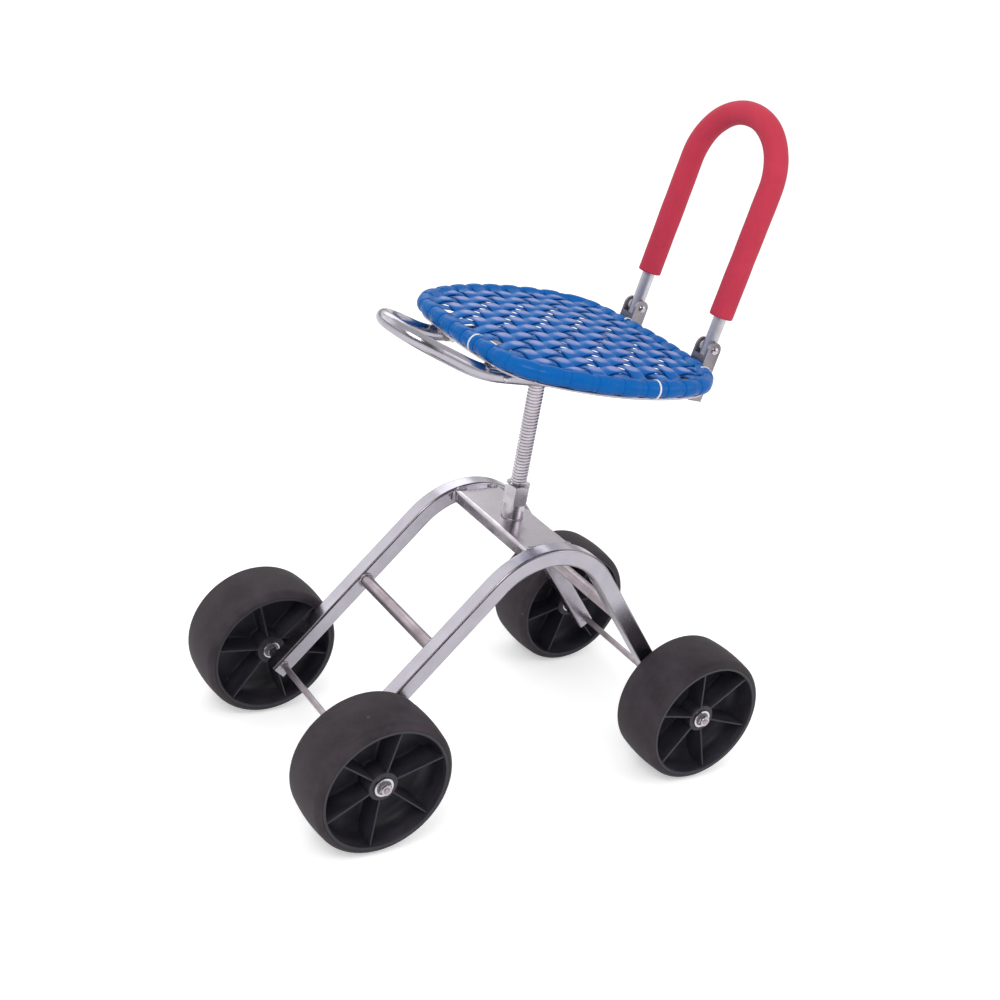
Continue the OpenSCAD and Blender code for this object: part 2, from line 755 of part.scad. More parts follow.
// Two ears welded to the sides of a leg, with a stop web in front of the handle tube
module bracket() {
    web_x = -handle_d / 2 - running_gap - ear_t;
    ear_x = web_x + ear_w / 2;
    foot = (ear_foot - pivot_z) / cos(handle_lean);
    web_top = -handle_d / 2 - 3 * face_gap;
    web_foot = (bow_z + bow_r - pivot_z) / cos(handle_lean);
    difference() {
        union() {
            for (side = [0, 1]) mirror([0, side, 0]) {
                translate([ear_x, 0, 0]) along_y(ear_inside, ear_outside, ear_w / 2);
                translate([web_x, ear_inside, foot]) cube([ear_w, ear_t, -foot]);
            }
            translate([web_x, -ear_inside - over / 2, web_foot + ear_t / 2])
                cube([ear_t, 2 * ear_inside + over, web_top - web_foot - ear_t / 2]);
        }
        along_y(-ear_outside - over, ear_outside + over, pivot_bolt_d / 2);
    }
}

module left_bracket() { color(steel) on_handle() translate([0, -pivot_y, 0]) bracket(); }
module right_bracket() { color(steel) on_handle() translate([0, pivot_y, 0]) bracket(); }

module at_pivots() {
    for (side = [-1, 1]) on_handle() translate([0, side * pivot_y, 0]) children();
}

module pivot_bolts() {
    color(chrome) at_pivots() button_bolt(-ear_outside, ear_outside + pivot_bolt_d * 1.2, pivot_bolt_d);
}

module pivot_nuts() {
    color(chrome) at_pivots()
        hex_nut(ear_outside, ear_outside + pivot_bolt_d * 0.8, pivot_bolt_d * 1.65, pivot_bolt_d);
}

module handle_tube() {
    path = [[0, -pivot_y, -tail_l], [0, -pivot_y, handle_h], [0, pivot_y, handle_h], [0, pivot_y, -tail_l]];
    color(chrome) on_handle() difference() {
        bent_bar(path, [0, handle_bend_r, handle_bend_r, 0], handle_d / 2, handle_d / 2 - handle_wall);
        for (side = [-1, 1]) translate([0, side * pivot_y, 0])
            along_y(-handle_d, handle_d, pivot_bolt_d / 2 + running_gap);
    }
}

module handle_washers() {
    color("white") at_pivots() for (side = [0, 1]) mirror([0, side, 0]) difference() {
        along_y(handle_d / 2, handle_d / 2 + pivot_washer_t, pivot_washer_d / 2);
        along_y(0, handle_d, pivot_bolt_d / 2 + running_gap);
    }
}

module foam_grip() {
    path = [[0, -pivot_y, foam_left], [0, -pivot_y, handle_h], [0, pivot_y, handle_h], [0, pivot_y, foam_right]];
    color(grip_red) on_handle()
        bent_bar(path, [0, handle_bend_r, handle_bend_r, 0], foam_d / 2, handle_d / 2);
}

left_arch();
right_arch();
top_plate();
front_cross_bar();
rear_cross_bar();
socket_tube();
thread_nut();
front_axle();
rear_axle();
axle_bushes();
axle_washers();
axle_nuts();
front_left_tyre();
front_left_hub();
front_left_bearings();
front_right_tyre();
front_right_hub();
front_right_bearings();
rear_left_tyre();
rear_left_hub();
rear_left_bearings();
rear_right_tyre();
rear_right_hub();
rear_right_bearings();
stop_washer();
stop_bolt();
lift_screw();
mount_plate();
bow_frame();
seat_ring();
rim_wrap();
rim_hoop();
seat_weave();
rim_ties();
seat_lugs();
seat_bolts();
seat_nuts();
left_bracket();
right_bracket();
pivot_bolts();
pivot_nuts();
handle_tube();
handle_washers();
foam_grip();
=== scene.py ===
import bmesh
import bpy
import numpy as np
from mathutils import Matrix, Vector


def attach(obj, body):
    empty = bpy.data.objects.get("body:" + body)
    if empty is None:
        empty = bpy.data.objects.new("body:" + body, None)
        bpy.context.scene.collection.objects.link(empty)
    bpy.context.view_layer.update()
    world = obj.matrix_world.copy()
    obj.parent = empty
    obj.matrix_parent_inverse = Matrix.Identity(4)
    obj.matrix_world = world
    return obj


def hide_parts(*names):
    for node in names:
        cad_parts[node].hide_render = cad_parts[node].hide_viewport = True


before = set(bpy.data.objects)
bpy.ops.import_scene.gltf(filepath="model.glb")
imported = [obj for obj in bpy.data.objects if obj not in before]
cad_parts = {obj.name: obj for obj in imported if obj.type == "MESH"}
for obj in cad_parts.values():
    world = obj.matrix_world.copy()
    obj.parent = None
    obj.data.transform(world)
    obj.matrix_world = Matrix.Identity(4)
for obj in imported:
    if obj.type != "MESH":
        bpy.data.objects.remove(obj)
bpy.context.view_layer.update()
print("frame loaded:", len(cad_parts), "nodes")

mm = 0.001
rad = np.radians


# Camera at the photograph's place and angle, in metres
cameraSpec = {
    "azimuth": -36.189,      # degrees about Z, from the -Y side
    "elevation": 24.067,     # degrees above the floor
    "roll": 10.530,
    "lens": 55.56, "sensor": 36.0,
    "place": (-1.0332, -1.3951, 1.1124),
}


# Columns are the camera's right, up and backward directions, turned about the view line by the roll
def makeCamera(spec):
    az, el, roll = rad(spec["azimuth"]), rad(spec["elevation"]), rad(spec["roll"])
    back = np.array([np.sin(az) * np.cos(el), -np.cos(az) * np.cos(el), np.sin(el)])
    right = np.array([np.cos(az), np.sin(az), 0.0])
    up = np.cross(back, right)
    r = right * np.cos(roll) + up * np.sin(roll)
    u = up * np.cos(roll) - right * np.sin(roll)
    data = bpy.data.cameras.new("photoCamera")
    data.lens = spec["lens"]
    data.sensor_width = spec["sensor"]
    camera = bpy.data.objects.new("photoCamera", data)
    bpy.context.scene.collection.objects.link(camera)
    m = Matrix.Identity(4)
    for i, axis in enumerate((r, u, back)):
        for j in range(3):
            m[j][i] = float(axis[j])
    m.translation = Vector(spec["place"])
    camera.matrix_world = m
    bpy.context.scene.camera = camera


makeCamera(cameraSpec)


# Shader maths is written as expressions: a Value is a node's output that can be added, multiplied and
# compared like a number
class Value:
    def __init__(self, graph, socket):
        self.graph = graph
        self.socket = socket

    def __add__(self, other):
        return self.graph.maths("ADD", self, other)

    def __sub__(self, other):
        return self.graph.maths("SUBTRACT", self, other)

    def __rsub__(self, other):
        return self.graph.maths("SUBTRACT", other, self)

    def __mul__(self, other):
        return self.graph.maths("MULTIPLY", self, other)

    def __pow__(self, other):
        return self.graph.maths("POWER", self, other)

    def __lt__(self, other):
        return self.graph.maths("LESS_THAN", self, other)

    def __gt__(self, other):
        return self.graph.maths("GREATER_THAN", self, other)

    def __abs__(self):
        return self.graph.maths("ABSOLUTE", self)

    __radd__ = __add__
    __rmul__ = __mul__


class Graph:
    def __init__(self, name, tree=None):
        if tree is None:
            self.material = bpy.data.materials.new(name)
            self.material.use_nodes = True
            tree = self.material.node_tree
        tree.nodes.clear()
        self.tree = tree

    # Makes one node: settings are set first, then values or links go to its sockets
    def make(self, kind, settings=None, sockets=None, out=0):
        node = self.tree.nodes.new("ShaderNode" + kind)
        for key, value in (settings or {}).items():
            if key == "stops":
                ramp = node.color_ramp
                while len(ramp.elements) < len(value):
                    ramp.elements.new(0.5)
                for element, (place, colour) in zip(ramp.elements, value):
                    element.position = place
                    element.color = colour
            else:
                setattr(node, key, value)
        for key, value in (sockets or {}).items():
            if isinstance(value, Value):
                self.tree.links.new(value.socket, node.inputs[key])
            elif value is not None:
                node.inputs[key].default_value = value
        return Value(self, node.outputs[out]) if node.outputs else node

    def maths(self, operation, a, b=None):
        return self.make("Math", {"operation": operation}, {0: a, 1: b})

    def place(self):
        return self.make("TexCoord", out="Object")

    def uv(self, layer):
        return self.make("UVMap", {"uv_map": layer})

    def split(self, vector):
        node = self.tree.nodes.new("ShaderNodeSeparateXYZ")
        self.tree.links.new(vector.socket, node.inputs[0])
        return [Value(self, o) for o in node.outputs]

    def noise(self, where, scale, detail=3.0, rough=0.5):
        return self.make("TexNoise", {}, {"Vector": where, "Scale": scale,
                                          "Detail": detail, "Roughness": rough})

    def ramp(self, fac, stops):
        grey = [(p, (v, v, v, 1.0)) for p, v in stops]
        return self.make("ValToRGB", {"stops": grey}, {"Fac": fac})

    def blend(self, fac, a, b):
        return self.make("Mix", {"data_type": "RGBA"}, {"Factor": fac, 6: a, 7: b}, out=2)

    def stretch(self, where, x, y, z):
        return self.make("Mapping", {}, {"Vector": where, "Scale": (x, y, z)})

    # Principled surface; heights is a list of (height value, strength, distance) laid one on the other
    def finish(self, colour, roughness, metallic=0.0, heights=(), **fixed):
        normal = None
        for height, strength, distance in heights:
            normal = self.make("Bump", {}, {"Height": height, "Strength": strength,
                                            "Distance": distance, "Normal": normal})
        sockets = {"Base Color": colour, "Roughness": roughness, "Metallic": metallic, "Normal": normal}
        sockets.update(fixed)
        surface = self.make("BsdfPrincipled", {}, sockets)
        self.make("OutputMaterial", {}, {"Surface": surface})
        return self.material


def rgb(r, g, b):
    return (r, g, b, 1.0)


# Finishes: colours are linear, a size is a noise scale on Object coordinates in metres, and a bump is
# (strength, distance)
chromeSpec = {
    "colour": rgb(0.535, 0.515, 0.570), "smudge": rgb(0.42, 0.39, 0.44), "smudgeShare": 0.55,
    "rough": 0.16, "smearRough": 0.10, "scratchRough": 0.04,
    "smearSize": 9, "scratchStretch": (40, 900, 40), "grain": 900.0,
    "smearBump": (0.10, 0.0006), "grainBump": (0.05, 0.0002),
}
# An arch's corner colour is a painted dark reflection for the rounded corners of its square tube
archSpec = dict(chromeSpec, colour=rgb(0.510, 0.490, 0.550), smudge=rgb(0.41, 0.385, 0.44), rough=0.17,
                corner=rgb(0.205, 0.150, 0.165), cornerReflectionShare=(0.50, 0.30))


# Chrome: smeared patches and fine scratches; on an arch, a painted dark reflection also darkens its tube's
# four rounded corners
def makeChrome(name, spec):
    g = Graph(name)
    where = g.place()
    smear = g.noise(g.stretch(where, *[spec["smearSize"]] * 3), 3.0, 5.0, 0.6)
    fine = g.noise(where, spec["grain"], 2.0)
    scratch = g.noise(g.stretch(where, *spec["scratchStretch"]), 4.0, 2.0)
    mask = g.ramp(smear, [(0.38, 0.0), (0.72, 1.0)])
    rough = spec["rough"] + spec["smearRough"] * mask + spec["scratchRough"] * scratch
    colour = g.blend(mask * spec["smudgeShare"], spec["colour"], spec["smudge"])
    # Painted dark reflection: where the normal lies between the side faces' and the top face's, on the tube's
    # rounded corners, the colour goes towards the corner colour, more where smeared
    if "corner" in spec:
        least, more = spec["cornerReflectionShare"]
        sideways = g.split(g.make("NewGeometry", out="Normal"))[1]
        corner = g.ramp(abs(sideways), [(0.12, 0.0), (0.36, 1.0), (0.80, 1.0), (0.97, 0.0)])
        colour = g.blend(corner * (least + more * smear), colour, spec["corner"])
    return g.finish(colour, rough, 1.0, [(smear, *spec["smearBump"]), (fine, *spec["grainBump"])])


zincSpec = {
    "bright": rgb(0.640, 0.600, 0.650), "dull": rgb(0.44, 0.40, 0.44), "rough": 0.15,
    "cloud": 45.0, "crystal": 420.0, "dullShare": 0.6, "dullRough": 0.16,
    "cloudBump": (0.12, 0.0005), "crystalBump": (0.08, 0.0002),
}
handleSpec = dict(zincSpec, bright=rgb(0.70, 0.68, 0.73), dull=rgb(0.56, 0.53, 0.57), rough=0.36)


# Zinc plating: bright crystals over a duller ground, with rougher patches
def makeZinc(name, spec):
    g = Graph(name)
    where = g.place()
    cloud = g.noise(where, spec["cloud"], 5.0, 0.6)
    grain = g.make("TexVoronoi", {}, {"Vector": where, "Scale": spec["crystal"]})
    mask = g.ramp(cloud, [(0.35, 0.0), (0.7, 1.0)])
    colour = g.blend(mask * spec["dullShare"], spec["bright"], spec["dull"])
    return g.finish(colour, spec["rough"] + spec["dullRough"] * mask, 1.0,
                    [(cloud, *spec["cloudBump"]), (grain, *spec["crystalBump"])])


steelSpec = {
    "bright": rgb(0.47, 0.415, 0.445), "dark": rgb(0.25, 0.200, 0.215), "rough": 0.33,
    "drawn": (60, 60, 900), "stain": 28.0, "stainShare": 0.7, "stainRough": 0.18, "drawnBump": (0.12, 0.0004),
}
bracketSpec = dict(steelSpec, bright=rgb(0.35, 0.32, 0.35), dark=rgb(0.18, 0.16, 0.18), rough=0.36)


# Drawn steel: fine lines across the bar, and oil stains
def makeSteel(name, spec):
    g = Graph(name)
    where = g.place()
    lines = g.noise(g.stretch(where, *spec["drawn"]), 2.0, 3.0, 0.7)
    stain = g.ramp(g.noise(where, spec["stain"], 4.0, 0.6), [(0.42, 0.0), (0.75, 1.0)])
    colour = g.blend(stain * spec["stainShare"], spec["bright"], spec["dark"])
    return g.finish(colour, spec["rough"] + spec["stainRough"] * stain, 1.0, [(lines, *spec["drawnBump"])])


weldFinish = {
    "bright": rgb(0.56, 0.53, 0.56), "burnt": rgb(0.32, 0.29, 0.31), "cloud": 160.0,
    "rough": 0.30, "burntRough": 0.2, "bump": (0.3, 0.0005),
}


# Weld metal: bright beads with burnt patches
def makeWeld(spec):
    g = Graph("weldMetal")
    where = g.place()
    cloud = g.ramp(g.noise(where, spec["cloud"], 4.0, 0.6), [(0.4, 0.0), (0.66, 1.0)])
    colour = g.blend(cloud, spec["bright"], spec["burnt"])
    return g.finish(colour, spec["rough"] + spec["burntRough"] * cloud, 1.0, [(cloud, *spec["bump"])])


tyreSpec = {
    "colour": rgb(0.020, 0.014, 0.019), "wearAndHighlight": rgb(0.052, 0.042, 0.052), "rust": rgb(0.060, 0.024, 0.024),
    "scuff": rgb(0.15, 0.14, 0.145), "rough": 0.58, "dustRough": 0.14, "specular": 0.36,
    "dustSize": 22.0, "pebbleSize": 520.0, "speckSize": 240.0, "scuffSize": 34.0, "scuffReach": 0.07,
    "speckShare": 0.40, "scuffShare": 0.35, "dustBump": (0.20, 0.0007), "pebbleBump": (0.45, 0.0005),
}


# Moulded tread: dusty patches, a pebbled skin, reddish specks and a few pale scuffs
def makeTyre(spec):
    g = Graph("tyreTread")
    where = g.place()
    dust = g.ramp(g.noise(where, spec["dustSize"], 6.0, 0.62), [(0.40, 0.0), (0.72, 1.0)])
    pebble = g.noise(where, spec["pebbleSize"], 4.0, 0.65)
    speck = g.ramp(g.noise(where, spec["speckSize"], 4.0, 0.7), [(0.50, 0.0), (0.68, 1.0)])
    spots = g.make("TexVoronoi", {}, {"Vector": where, "Scale": spec["scuffSize"]})
    scuff = (spots < spec["scuffReach"]) * g.ramp(g.noise(where, 90.0, 3.0), [(0.45, 0.0), (0.6, 1.0)])
    ground = g.blend(speck * spec["speckShare"], g.blend(dust, spec["colour"], spec["wearAndHighlight"]), spec["rust"])
    colour = g.blend(scuff * spec["scuffShare"], ground, spec["scuff"])
    return g.finish(colour, spec["rough"] + spec["dustRough"] * dust, 0.0,
                    [(dust, *spec["dustBump"]), (pebble, *spec["pebbleBump"])],
                    **{"Specular IOR Level": spec["specular"]})


hubSpec = {
    "colour": rgb(0.0180, 0.0165, 0.0245), "bloom": rgb(0.034, 0.031, 0.042),
    "rough": 0.42, "flowRough": 0.15, "flowSize": 26.0, "skinSize": 1100.0,
    "skinBump": (0.18, 0.0002), "flowBump": (0.1, 0.0004),
}


# Injection moulded hub: satin, with faint flow marks
def makeHub(spec):
    g = Graph("hubPlastic")
    where = g.place()
    flow = g.ramp(g.noise(g.stretch(where, 1, 3, 1), spec["flowSize"], 4.0, 0.6), [(0.38, 0.0), (0.7, 1.0)])
    skin = g.noise(where, spec["skinSize"], 2.0)
    colour = g.blend(flow, spec["colour"], spec["bloom"])
    return g.finish(colour, spec["rough"] + spec["flowRough"] * flow, 0.0,
                    [(skin, *spec["skinBump"]), (flow, *spec["flowBump"])])


bearingSpec = {
    "axleX": 0.2335, "axleZ": 0.090, "sealIn": 0.0066, "sealOut": 0.0094,    # metres
    "race": rgb(0.74, 0.72, 0.74), "seal": rgb(0.17, 0.16, 0.17),
    "rough": 0.18, "sealRough": 0.3, "turnedRough": 0.08, "turnedBump": (0.1, 0.0002),
}


# Bearing: polished races, and a dark seal where the distance from the axle lies between two radii
def makeBearing(spec):
    g = Graph("bearingSteel")
    x, y, z = g.split(g.place())
    across = (abs(x) - spec["axleX"]) ** 2.0 + (z - spec["axleZ"]) ** 2.0
    seal = (across > spec["sealIn"] ** 2) * (across < spec["sealOut"] ** 2)
    turned = g.noise(g.stretch(g.place(), 500, 30, 500), 1.0, 2.0)
    colour = g.blend(seal, spec["race"], spec["seal"])
    rough = spec["rough"] + spec["sealRough"] * seal + spec["turnedRough"] * turned
    return g.finish(colour, rough, 1.0 - 0.7 * seal, [(turned, *spec["turnedBump"])])


# A strip's deep colour serves both for uneven mottling and for painted shade on its edges and low parts; its
# pale colour is a painted highlight on its crests
stripSpec = {
    "colour": rgb(0.0015, 0.118, 0.425), "mottleAndShade": rgb(0.001, 0.078, 0.320), "paintedHighlight": rgb(0.270, 0.315, 0.610),
    "rough": 0.24, "cloudRough": 0.10, "specular": 0.09, "coat": 0.08, "coatRough": 0.07,
    "lines": (6, 260, 1), "cloud": 60.0, "cloudShare": 0.20, "edgeShadeShare": 0.55, "highlightShare": (0.35, 1.0),
    "lineBump": (0.22, 0.0003), "cloudBump": (0.12, 0.0008),
}


# Extruded plastic strip: fine lines along its length and uneven gloss; painted shade darkens its edges and
# the low parts where it dips under its neighbours, and a painted highlight makes its crests pale
def makeStrip(spec):
    g = Graph("blueStrip")
    uv = g.uv("strip")
    v = g.split(uv)[1]
    lines = g.noise(g.stretch(uv, *spec["lines"]), 1.0, 3.0, 0.6)
    cloud = g.noise(g.place(), spec["cloud"], 3.0)
    crest, inPanel = g.split(g.uv("lift"))[:2]
    # Painted shade along the strip's edges, in the panel only
    edge = g.ramp(abs(v - 0.5) * 2.0, [(0.72, 0.0), (1.0, 1.0)]) * inPanel
    mottleAndEdgeShade = g.ramp(cloud, [(0.4, 0.0), (0.7, 1.0)]) * spec["cloudShare"] + edge * spec["edgeShadeShare"]
    # Painted shade where the strip dips low under its neighbours, in the panel only
    low = g.ramp(crest, [(0.0, 0.6), (0.5, 0.0)]) * inPanel
    least, more = spec["highlightShare"]
    # Painted highlight: the strip's crests turn pale, more where its gloss is uneven, in the panel only
    wearAndHighlight = g.ramp(crest, [(0.80, 0.0), (0.95, 1.0)]) * inPanel * (least + more * cloud)
    ground = g.blend(low, g.blend(mottleAndEdgeShade, spec["colour"], spec["mottleAndShade"]), spec["mottleAndShade"])
    return g.finish(g.blend(wearAndHighlight, ground, spec["paintedHighlight"]), spec["rough"] + spec["cloudRough"] * cloud, 0.0,
                    [(lines, *spec["lineBump"]), (cloud, *spec["cloudBump"])],
                    **{"Specular IOR Level": spec["specular"], "Coat Weight": spec["coat"],
                       "Coat Roughness": spec["coatRough"]})


whiteSpec = {
    "colour": rgb(0.80, 0.82, 0.85), "shade": rgb(0.62, 0.66, 0.72), "shadeShare": 0.3,
    "rough": 0.32, "grainRough": 0.1, "grain": 300.0, "bump": (0.1, 0.0002),
}


# White plastic with a fine uneven grain
def makeWhite(spec):
    g = Graph("whitePlastic")
    grain = g.noise(g.place(), spec["grain"], 3.0)
    colour = g.blend(grain * spec["shadeShare"], spec["colour"], spec["shade"])
    return g.finish(colour, spec["rough"] + spec["grainRough"] * grain, 0.0, [(grain, *spec["bump"])])


foamSpec = {
    "colour": rgb(0.560, 0.036, 0.074), "shade": rgb(0.420, 0.018, 0.044), "shadeShare": 0.45,
    "rough": 0.78, "dentRough": 0.08, "cellSize": 620.0, "dentSize": 34.0,
    "dentBump": (0.2, 0.0012), "cellBump": (0.35, 0.0004), "sheen": 0.06, "sheenRough": 0.5, "specular": 0.3,
}


# Closed-cell foam: tiny cells, pressed marks and a soft sheen
def makeFoam(spec):
    g = Graph("redFoam")
    where = g.place()
    cells = g.make("TexVoronoi", {}, {"Vector": where, "Scale": spec["cellSize"]})
    dents = g.ramp(g.noise(where, spec["dentSize"], 4.0, 0.6), [(0.35, 0.0), (0.75, 1.0)])
    colour = g.blend(dents * spec["shadeShare"], spec["colour"], spec["shade"])
    return g.finish(colour, spec["rough"] - spec["dentRough"] * dents, 0.0,
                    [(dents, *spec["dentBump"]), (cells, *spec["cellBump"])],
                    **{"Sheen Weight": spec["sheen"], "Sheen Roughness": spec["sheenRough"],
                       "Specular IOR Level": spec["specular"]})


chrome = makeChrome("chromedTube", chromeSpec)
archChrome = makeChrome("chromedArch", archSpec)
zinc = makeZinc("zincPlate", zincSpec)
satinZinc = makeZinc("satinZinc", handleSpec)
steel = makeSteel("drawnSteel", steelSpec)
stampedSteel = makeSteel("stampedSteel", bracketSpec)
weldMetal = makeWeld(weldFinish)
tyreTread = makeTyre(tyreSpec)
hubPlastic = makeHub(hubSpec)
bearingSteel = makeBearing(bearingSpec)
blueStrip = makeStrip(stripSpec)
whitePlastic = makeWhite(whiteSpec)
redFoam = makeFoam(foamSpec)
print("materials made")


# A grid of points (rows, columns, 3) as quads; a closed direction joins its last line to its first
def gridFaces(rows, columns, closeRows, closeColumns):
    i = np.arange(rows if closeRows else rows - 1)[:, None]
    j = np.arange(columns if closeColumns else columns - 1)[None, :]
    i2, j2 = (i + 1) % rows, (j + 1) % columns
    quads = np.stack(np.broadcast_arrays(i * columns + j, i2 * columns + j,
                                         i2 * columns + j2, i * columns + j2), -1)
    return quads.reshape(-1, 4)


# Six times the volume inside a closed set of faces, as the sum of p0 . (p1 x p2) over its triangles
def signedVolume(points, faces):
    total = 0.0
    for face in faces:
        fan = points[np.asarray(face)]
        total += (fan[..., 0, :] * np.cross(fan[..., 1, :], fan[..., 2, :])).sum()
        for k in range(2, fan.shape[-2] - 1):
            total += (fan[..., 0, :] * np.cross(fan[..., k, :], fan[..., k + 1, :])).sum()
    return total


joinGap = 0.004    # millimetres


# Merges the points of a mesh that lie closer than gap, then removes edges and faces smaller than least
def mergeDoubles(mesh, gap, least=None):
    shape = bmesh.new()
    shape.from_mesh(mesh)
    bmesh.ops.remove_doubles(shape, verts=shape.verts, dist=gap)
    if least is not None:
        bmesh.ops.dissolve_degenerate(shape, edges=shape.edges, dist=least)
    shape.to_mesh(mesh)
    shape.free()


# One object from several grids in millimetres; each is (points, closeRows, closeColumns, uv or None)
def surfaceObject(name, grids, material, body, sharp=None, capEnds=False, join=False):
    points, faces, uvs, start = [], [], [], 0
    for grid, closeRows, closeColumns, uv in grids:
        rows, columns = grid.shape[:2]
        flat = grid.reshape(-1, 3) * mm
        quads = gridFaces(rows, columns, closeRows, closeColumns)
        caps = []
        if capEnds:
            caps = [np.arange(columns), (rows * columns - 1 - np.arange(columns))]
        outward = signedVolume(flat, [quads] + caps) > 0
        for part in [quads.tolist()] + [[c.tolist()] for c in caps]:
            faces += [[k + start for k in (f if outward else f[::-1])] for f in part]
        points.append(flat)
        uvs.append(uv.reshape(-1, 4) if uv is not None else np.zeros((rows * columns, 4)))
        start += rows * columns
    points, uvs = np.vstack(points), np.vstack(uvs)
    mesh = bpy.data.meshes.new(name)
    mesh.from_pydata(points.tolist(), [], faces)
    corner = np.zeros(len(mesh.loops), np.int32)
    mesh.loops.foreach_get("vertex_index", corner)
    for k, layerName in enumerate(("strip", "lift")):
        layer = mesh.uv_layers.new(name=layerName)
        layer.data.foreach_set("uv", uvs[corner, 2 * k:2 * k + 2].astype(np.float32).ravel())
    if join:
        mergeDoubles(mesh, joinGap * mm, joinGap / 2 * mm)
    mesh.polygons.foreach_set("use_smooth", np.ones(len(mesh.polygons), bool))
    if sharp is not None:
        mesh.set_sharp_from_angle(angle=rad(sharp))
    mesh.update()
    mesh.materials.append(material)
    obj = bpy.data.objects.new(name, mesh)
    bpy.context.scene.collection.objects.link(obj)
    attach(obj, body)
    return obj


# Points of a ring of radius r about each point of a path, in the plane of the two side vectors a and b
def ringsOn(path, a, b, r, count):
    t = np.linspace(0, 2 * np.pi, count, endpoint=False)[None, :, None]
    r = np.broadcast_to(np.asarray(r, float), (len(path),))[:, None, None]
    return path[:, None, :] + r * (np.cos(t) * a[:, None, :] + np.sin(t) * b[:, None, :])


# Turns a point about Y by an angle in degrees: x' = x cos + z sin, z' = z cos - x sin
def turnY(p, angle):
    c, s = np.cos(rad(angle)), np.sin(rad(angle))
    return np.stack([p[..., 0] * c + p[..., 2] * s, p[..., 1], p[..., 2] * c - p[..., 0] * s], -1)


seatPlace = {"postX": 10.0, "height": 552.8, "slope": 4.4}
handlePlace = {"x": 187.0, "z": 21.6, "lean": 6.6}


# From the seat's own plane to the world: tilted by the slope, then moved to the post
def onSeat(p):
    return turnY(p, seatPlace["slope"]) + np.array([seatPlace["postX"], 0, seatPlace["height"]])


# From the handle's own frame to the world: leaned back, moved to its pivot and carried by the seat
def onHandle(p):
    return onSeat(turnY(p, handlePlace["lean"]) + np.array([handlePlace["x"], 0, handlePlace["z"]]))


# Wheels, in millimetres
wheelSpec = {
    "halfBase": 233.5, "halfTrack": 153.5, "radius": 90.0,
    "shoulder": 11.0, "halfTread": 29.0, "crown": 2.0, "inner": 80.0, "wallInside": 0.5, "overlap": 0.4,
    "drumInside": 76.2, "lip": 39.4, "web": 2.5, "bossRadius": 18.5, "bossEnd": 30.0, "bearing": 11.0,
    "edge": 0.6, "bossFillet": (3.0, 3.5), "drumFillet": 14.0, "dish": 1.5, "fit": 0.05,
    "ribInner": 30.0, "ribOuter": 36.4, "ribs": 6,
    "columns": 144, "treadRows": 15, "shoulderRows": 9, "pocketColumns": 12,
}
# Each wheel's side: front or rear, left or right, and the angle of its first rib in degrees
wheels = {
    "front_left": (-1, -1, 37.0), "front_right": (-1, 1, 10.0),
    "rear_left": (1, -1, 16.0), "rear_right": (1, 1, 50.0),
}


# Closed section of the tyre as radius and y: tread is a flat arc, shoulders are quarter rounds
def tyreSection(s):
    top = s["radius"] - s["crown"] - s["shoulder"]
    y = np.linspace(-s["halfTread"], s["halfTread"], s["treadRows"])[1:-1]
    tread = np.stack([s["radius"] - s["crown"] * (y / s["halfTread"]) ** 2, y], 1)
    end = np.arcsin((s["inner"] + s["overlap"] - top) / s["shoulder"])
    a = np.linspace(end, np.pi / 2, s["shoulderRows"])
    right = np.stack([top + s["shoulder"] * np.sin(a), s["halfTread"] + s["shoulder"] * np.cos(a)], 1)
    left = right * [1, -1]
    low = right[0, 1] - s["wallInside"]
    inside = np.array([[s["inner"], low], [s["inner"], 0], [s["inner"], -low]])
    return np.vstack([left, tread, right[::-1], inside])


# Section points turned about the axle: x = radius cos t, z = radius sin t, with y along the axle
def turned(section, angles, centre):
    radius, y = section[:, 0][:, None], section[:, 1][:, None]
    t = angles[None, :]
    y = np.broadcast_to(y, (len(section), len(angles)))
    return np.stack([radius * np.cos(t), y, radius * np.sin(t)], -1) + centre


# Height of a rib over the web, as a share of its full height, at distances from its middle line
ribFall = np.array([[0, 1], [0.8, 1], [1.1, 0.985], [1.3, 0.93], [1.75, 0.10], [2.3, 0.03], [3.4, 0.0],
                    [400, 0]])


# Half section of the hub as radius and y, from its bore over boss, web and drum to its outside
def hubHalfSection(s):
    boss, drum, web, lip = s["bossRadius"], s["drumInside"], s["web"], s["lip"]
    end, edge, outside = s["bossEnd"], s["edge"], s["inner"] - s["fit"]
    across, up = s["bossFillet"]
    bend = s["drumFillet"]
    half = [[s["bearing"], 0], [s["bearing"], end - edge], [s["bearing"] + edge, end],
            [boss - 0.9, end], [boss - 0.3, end - 0.25], [boss, end - 0.9],
            [boss + 0.4, 18.0], [boss + 0.8, web + up]]
    half += [[boss + 0.8 + across * (1 - np.cos(f)), web + up - up * np.sin(f)]
             for f in np.linspace(0, np.pi / 2, 6)[1:-1]]
    half += [[r, web + s["dish"] * ((r - boss) / (drum - boss)) ** 2]
             for r in np.linspace(boss + 4, drum - bend - 1, 13)]
    half += [[drum - bend - 1 + bend * np.sin(f), web + 1.0 + bend * (1 - np.cos(f))]
             for f in np.linspace(0.12, 1.45, 9)]
    half += [[drum - 0.8, 17.5], [drum - 0.5, 22], [drum - 0.15, 30], [drum, lip - 0.7],
             [drum + 0.25, lip - 0.2], [drum + 0.8, lip], [outside, lip], [outside, 0]]
    return np.array(half)


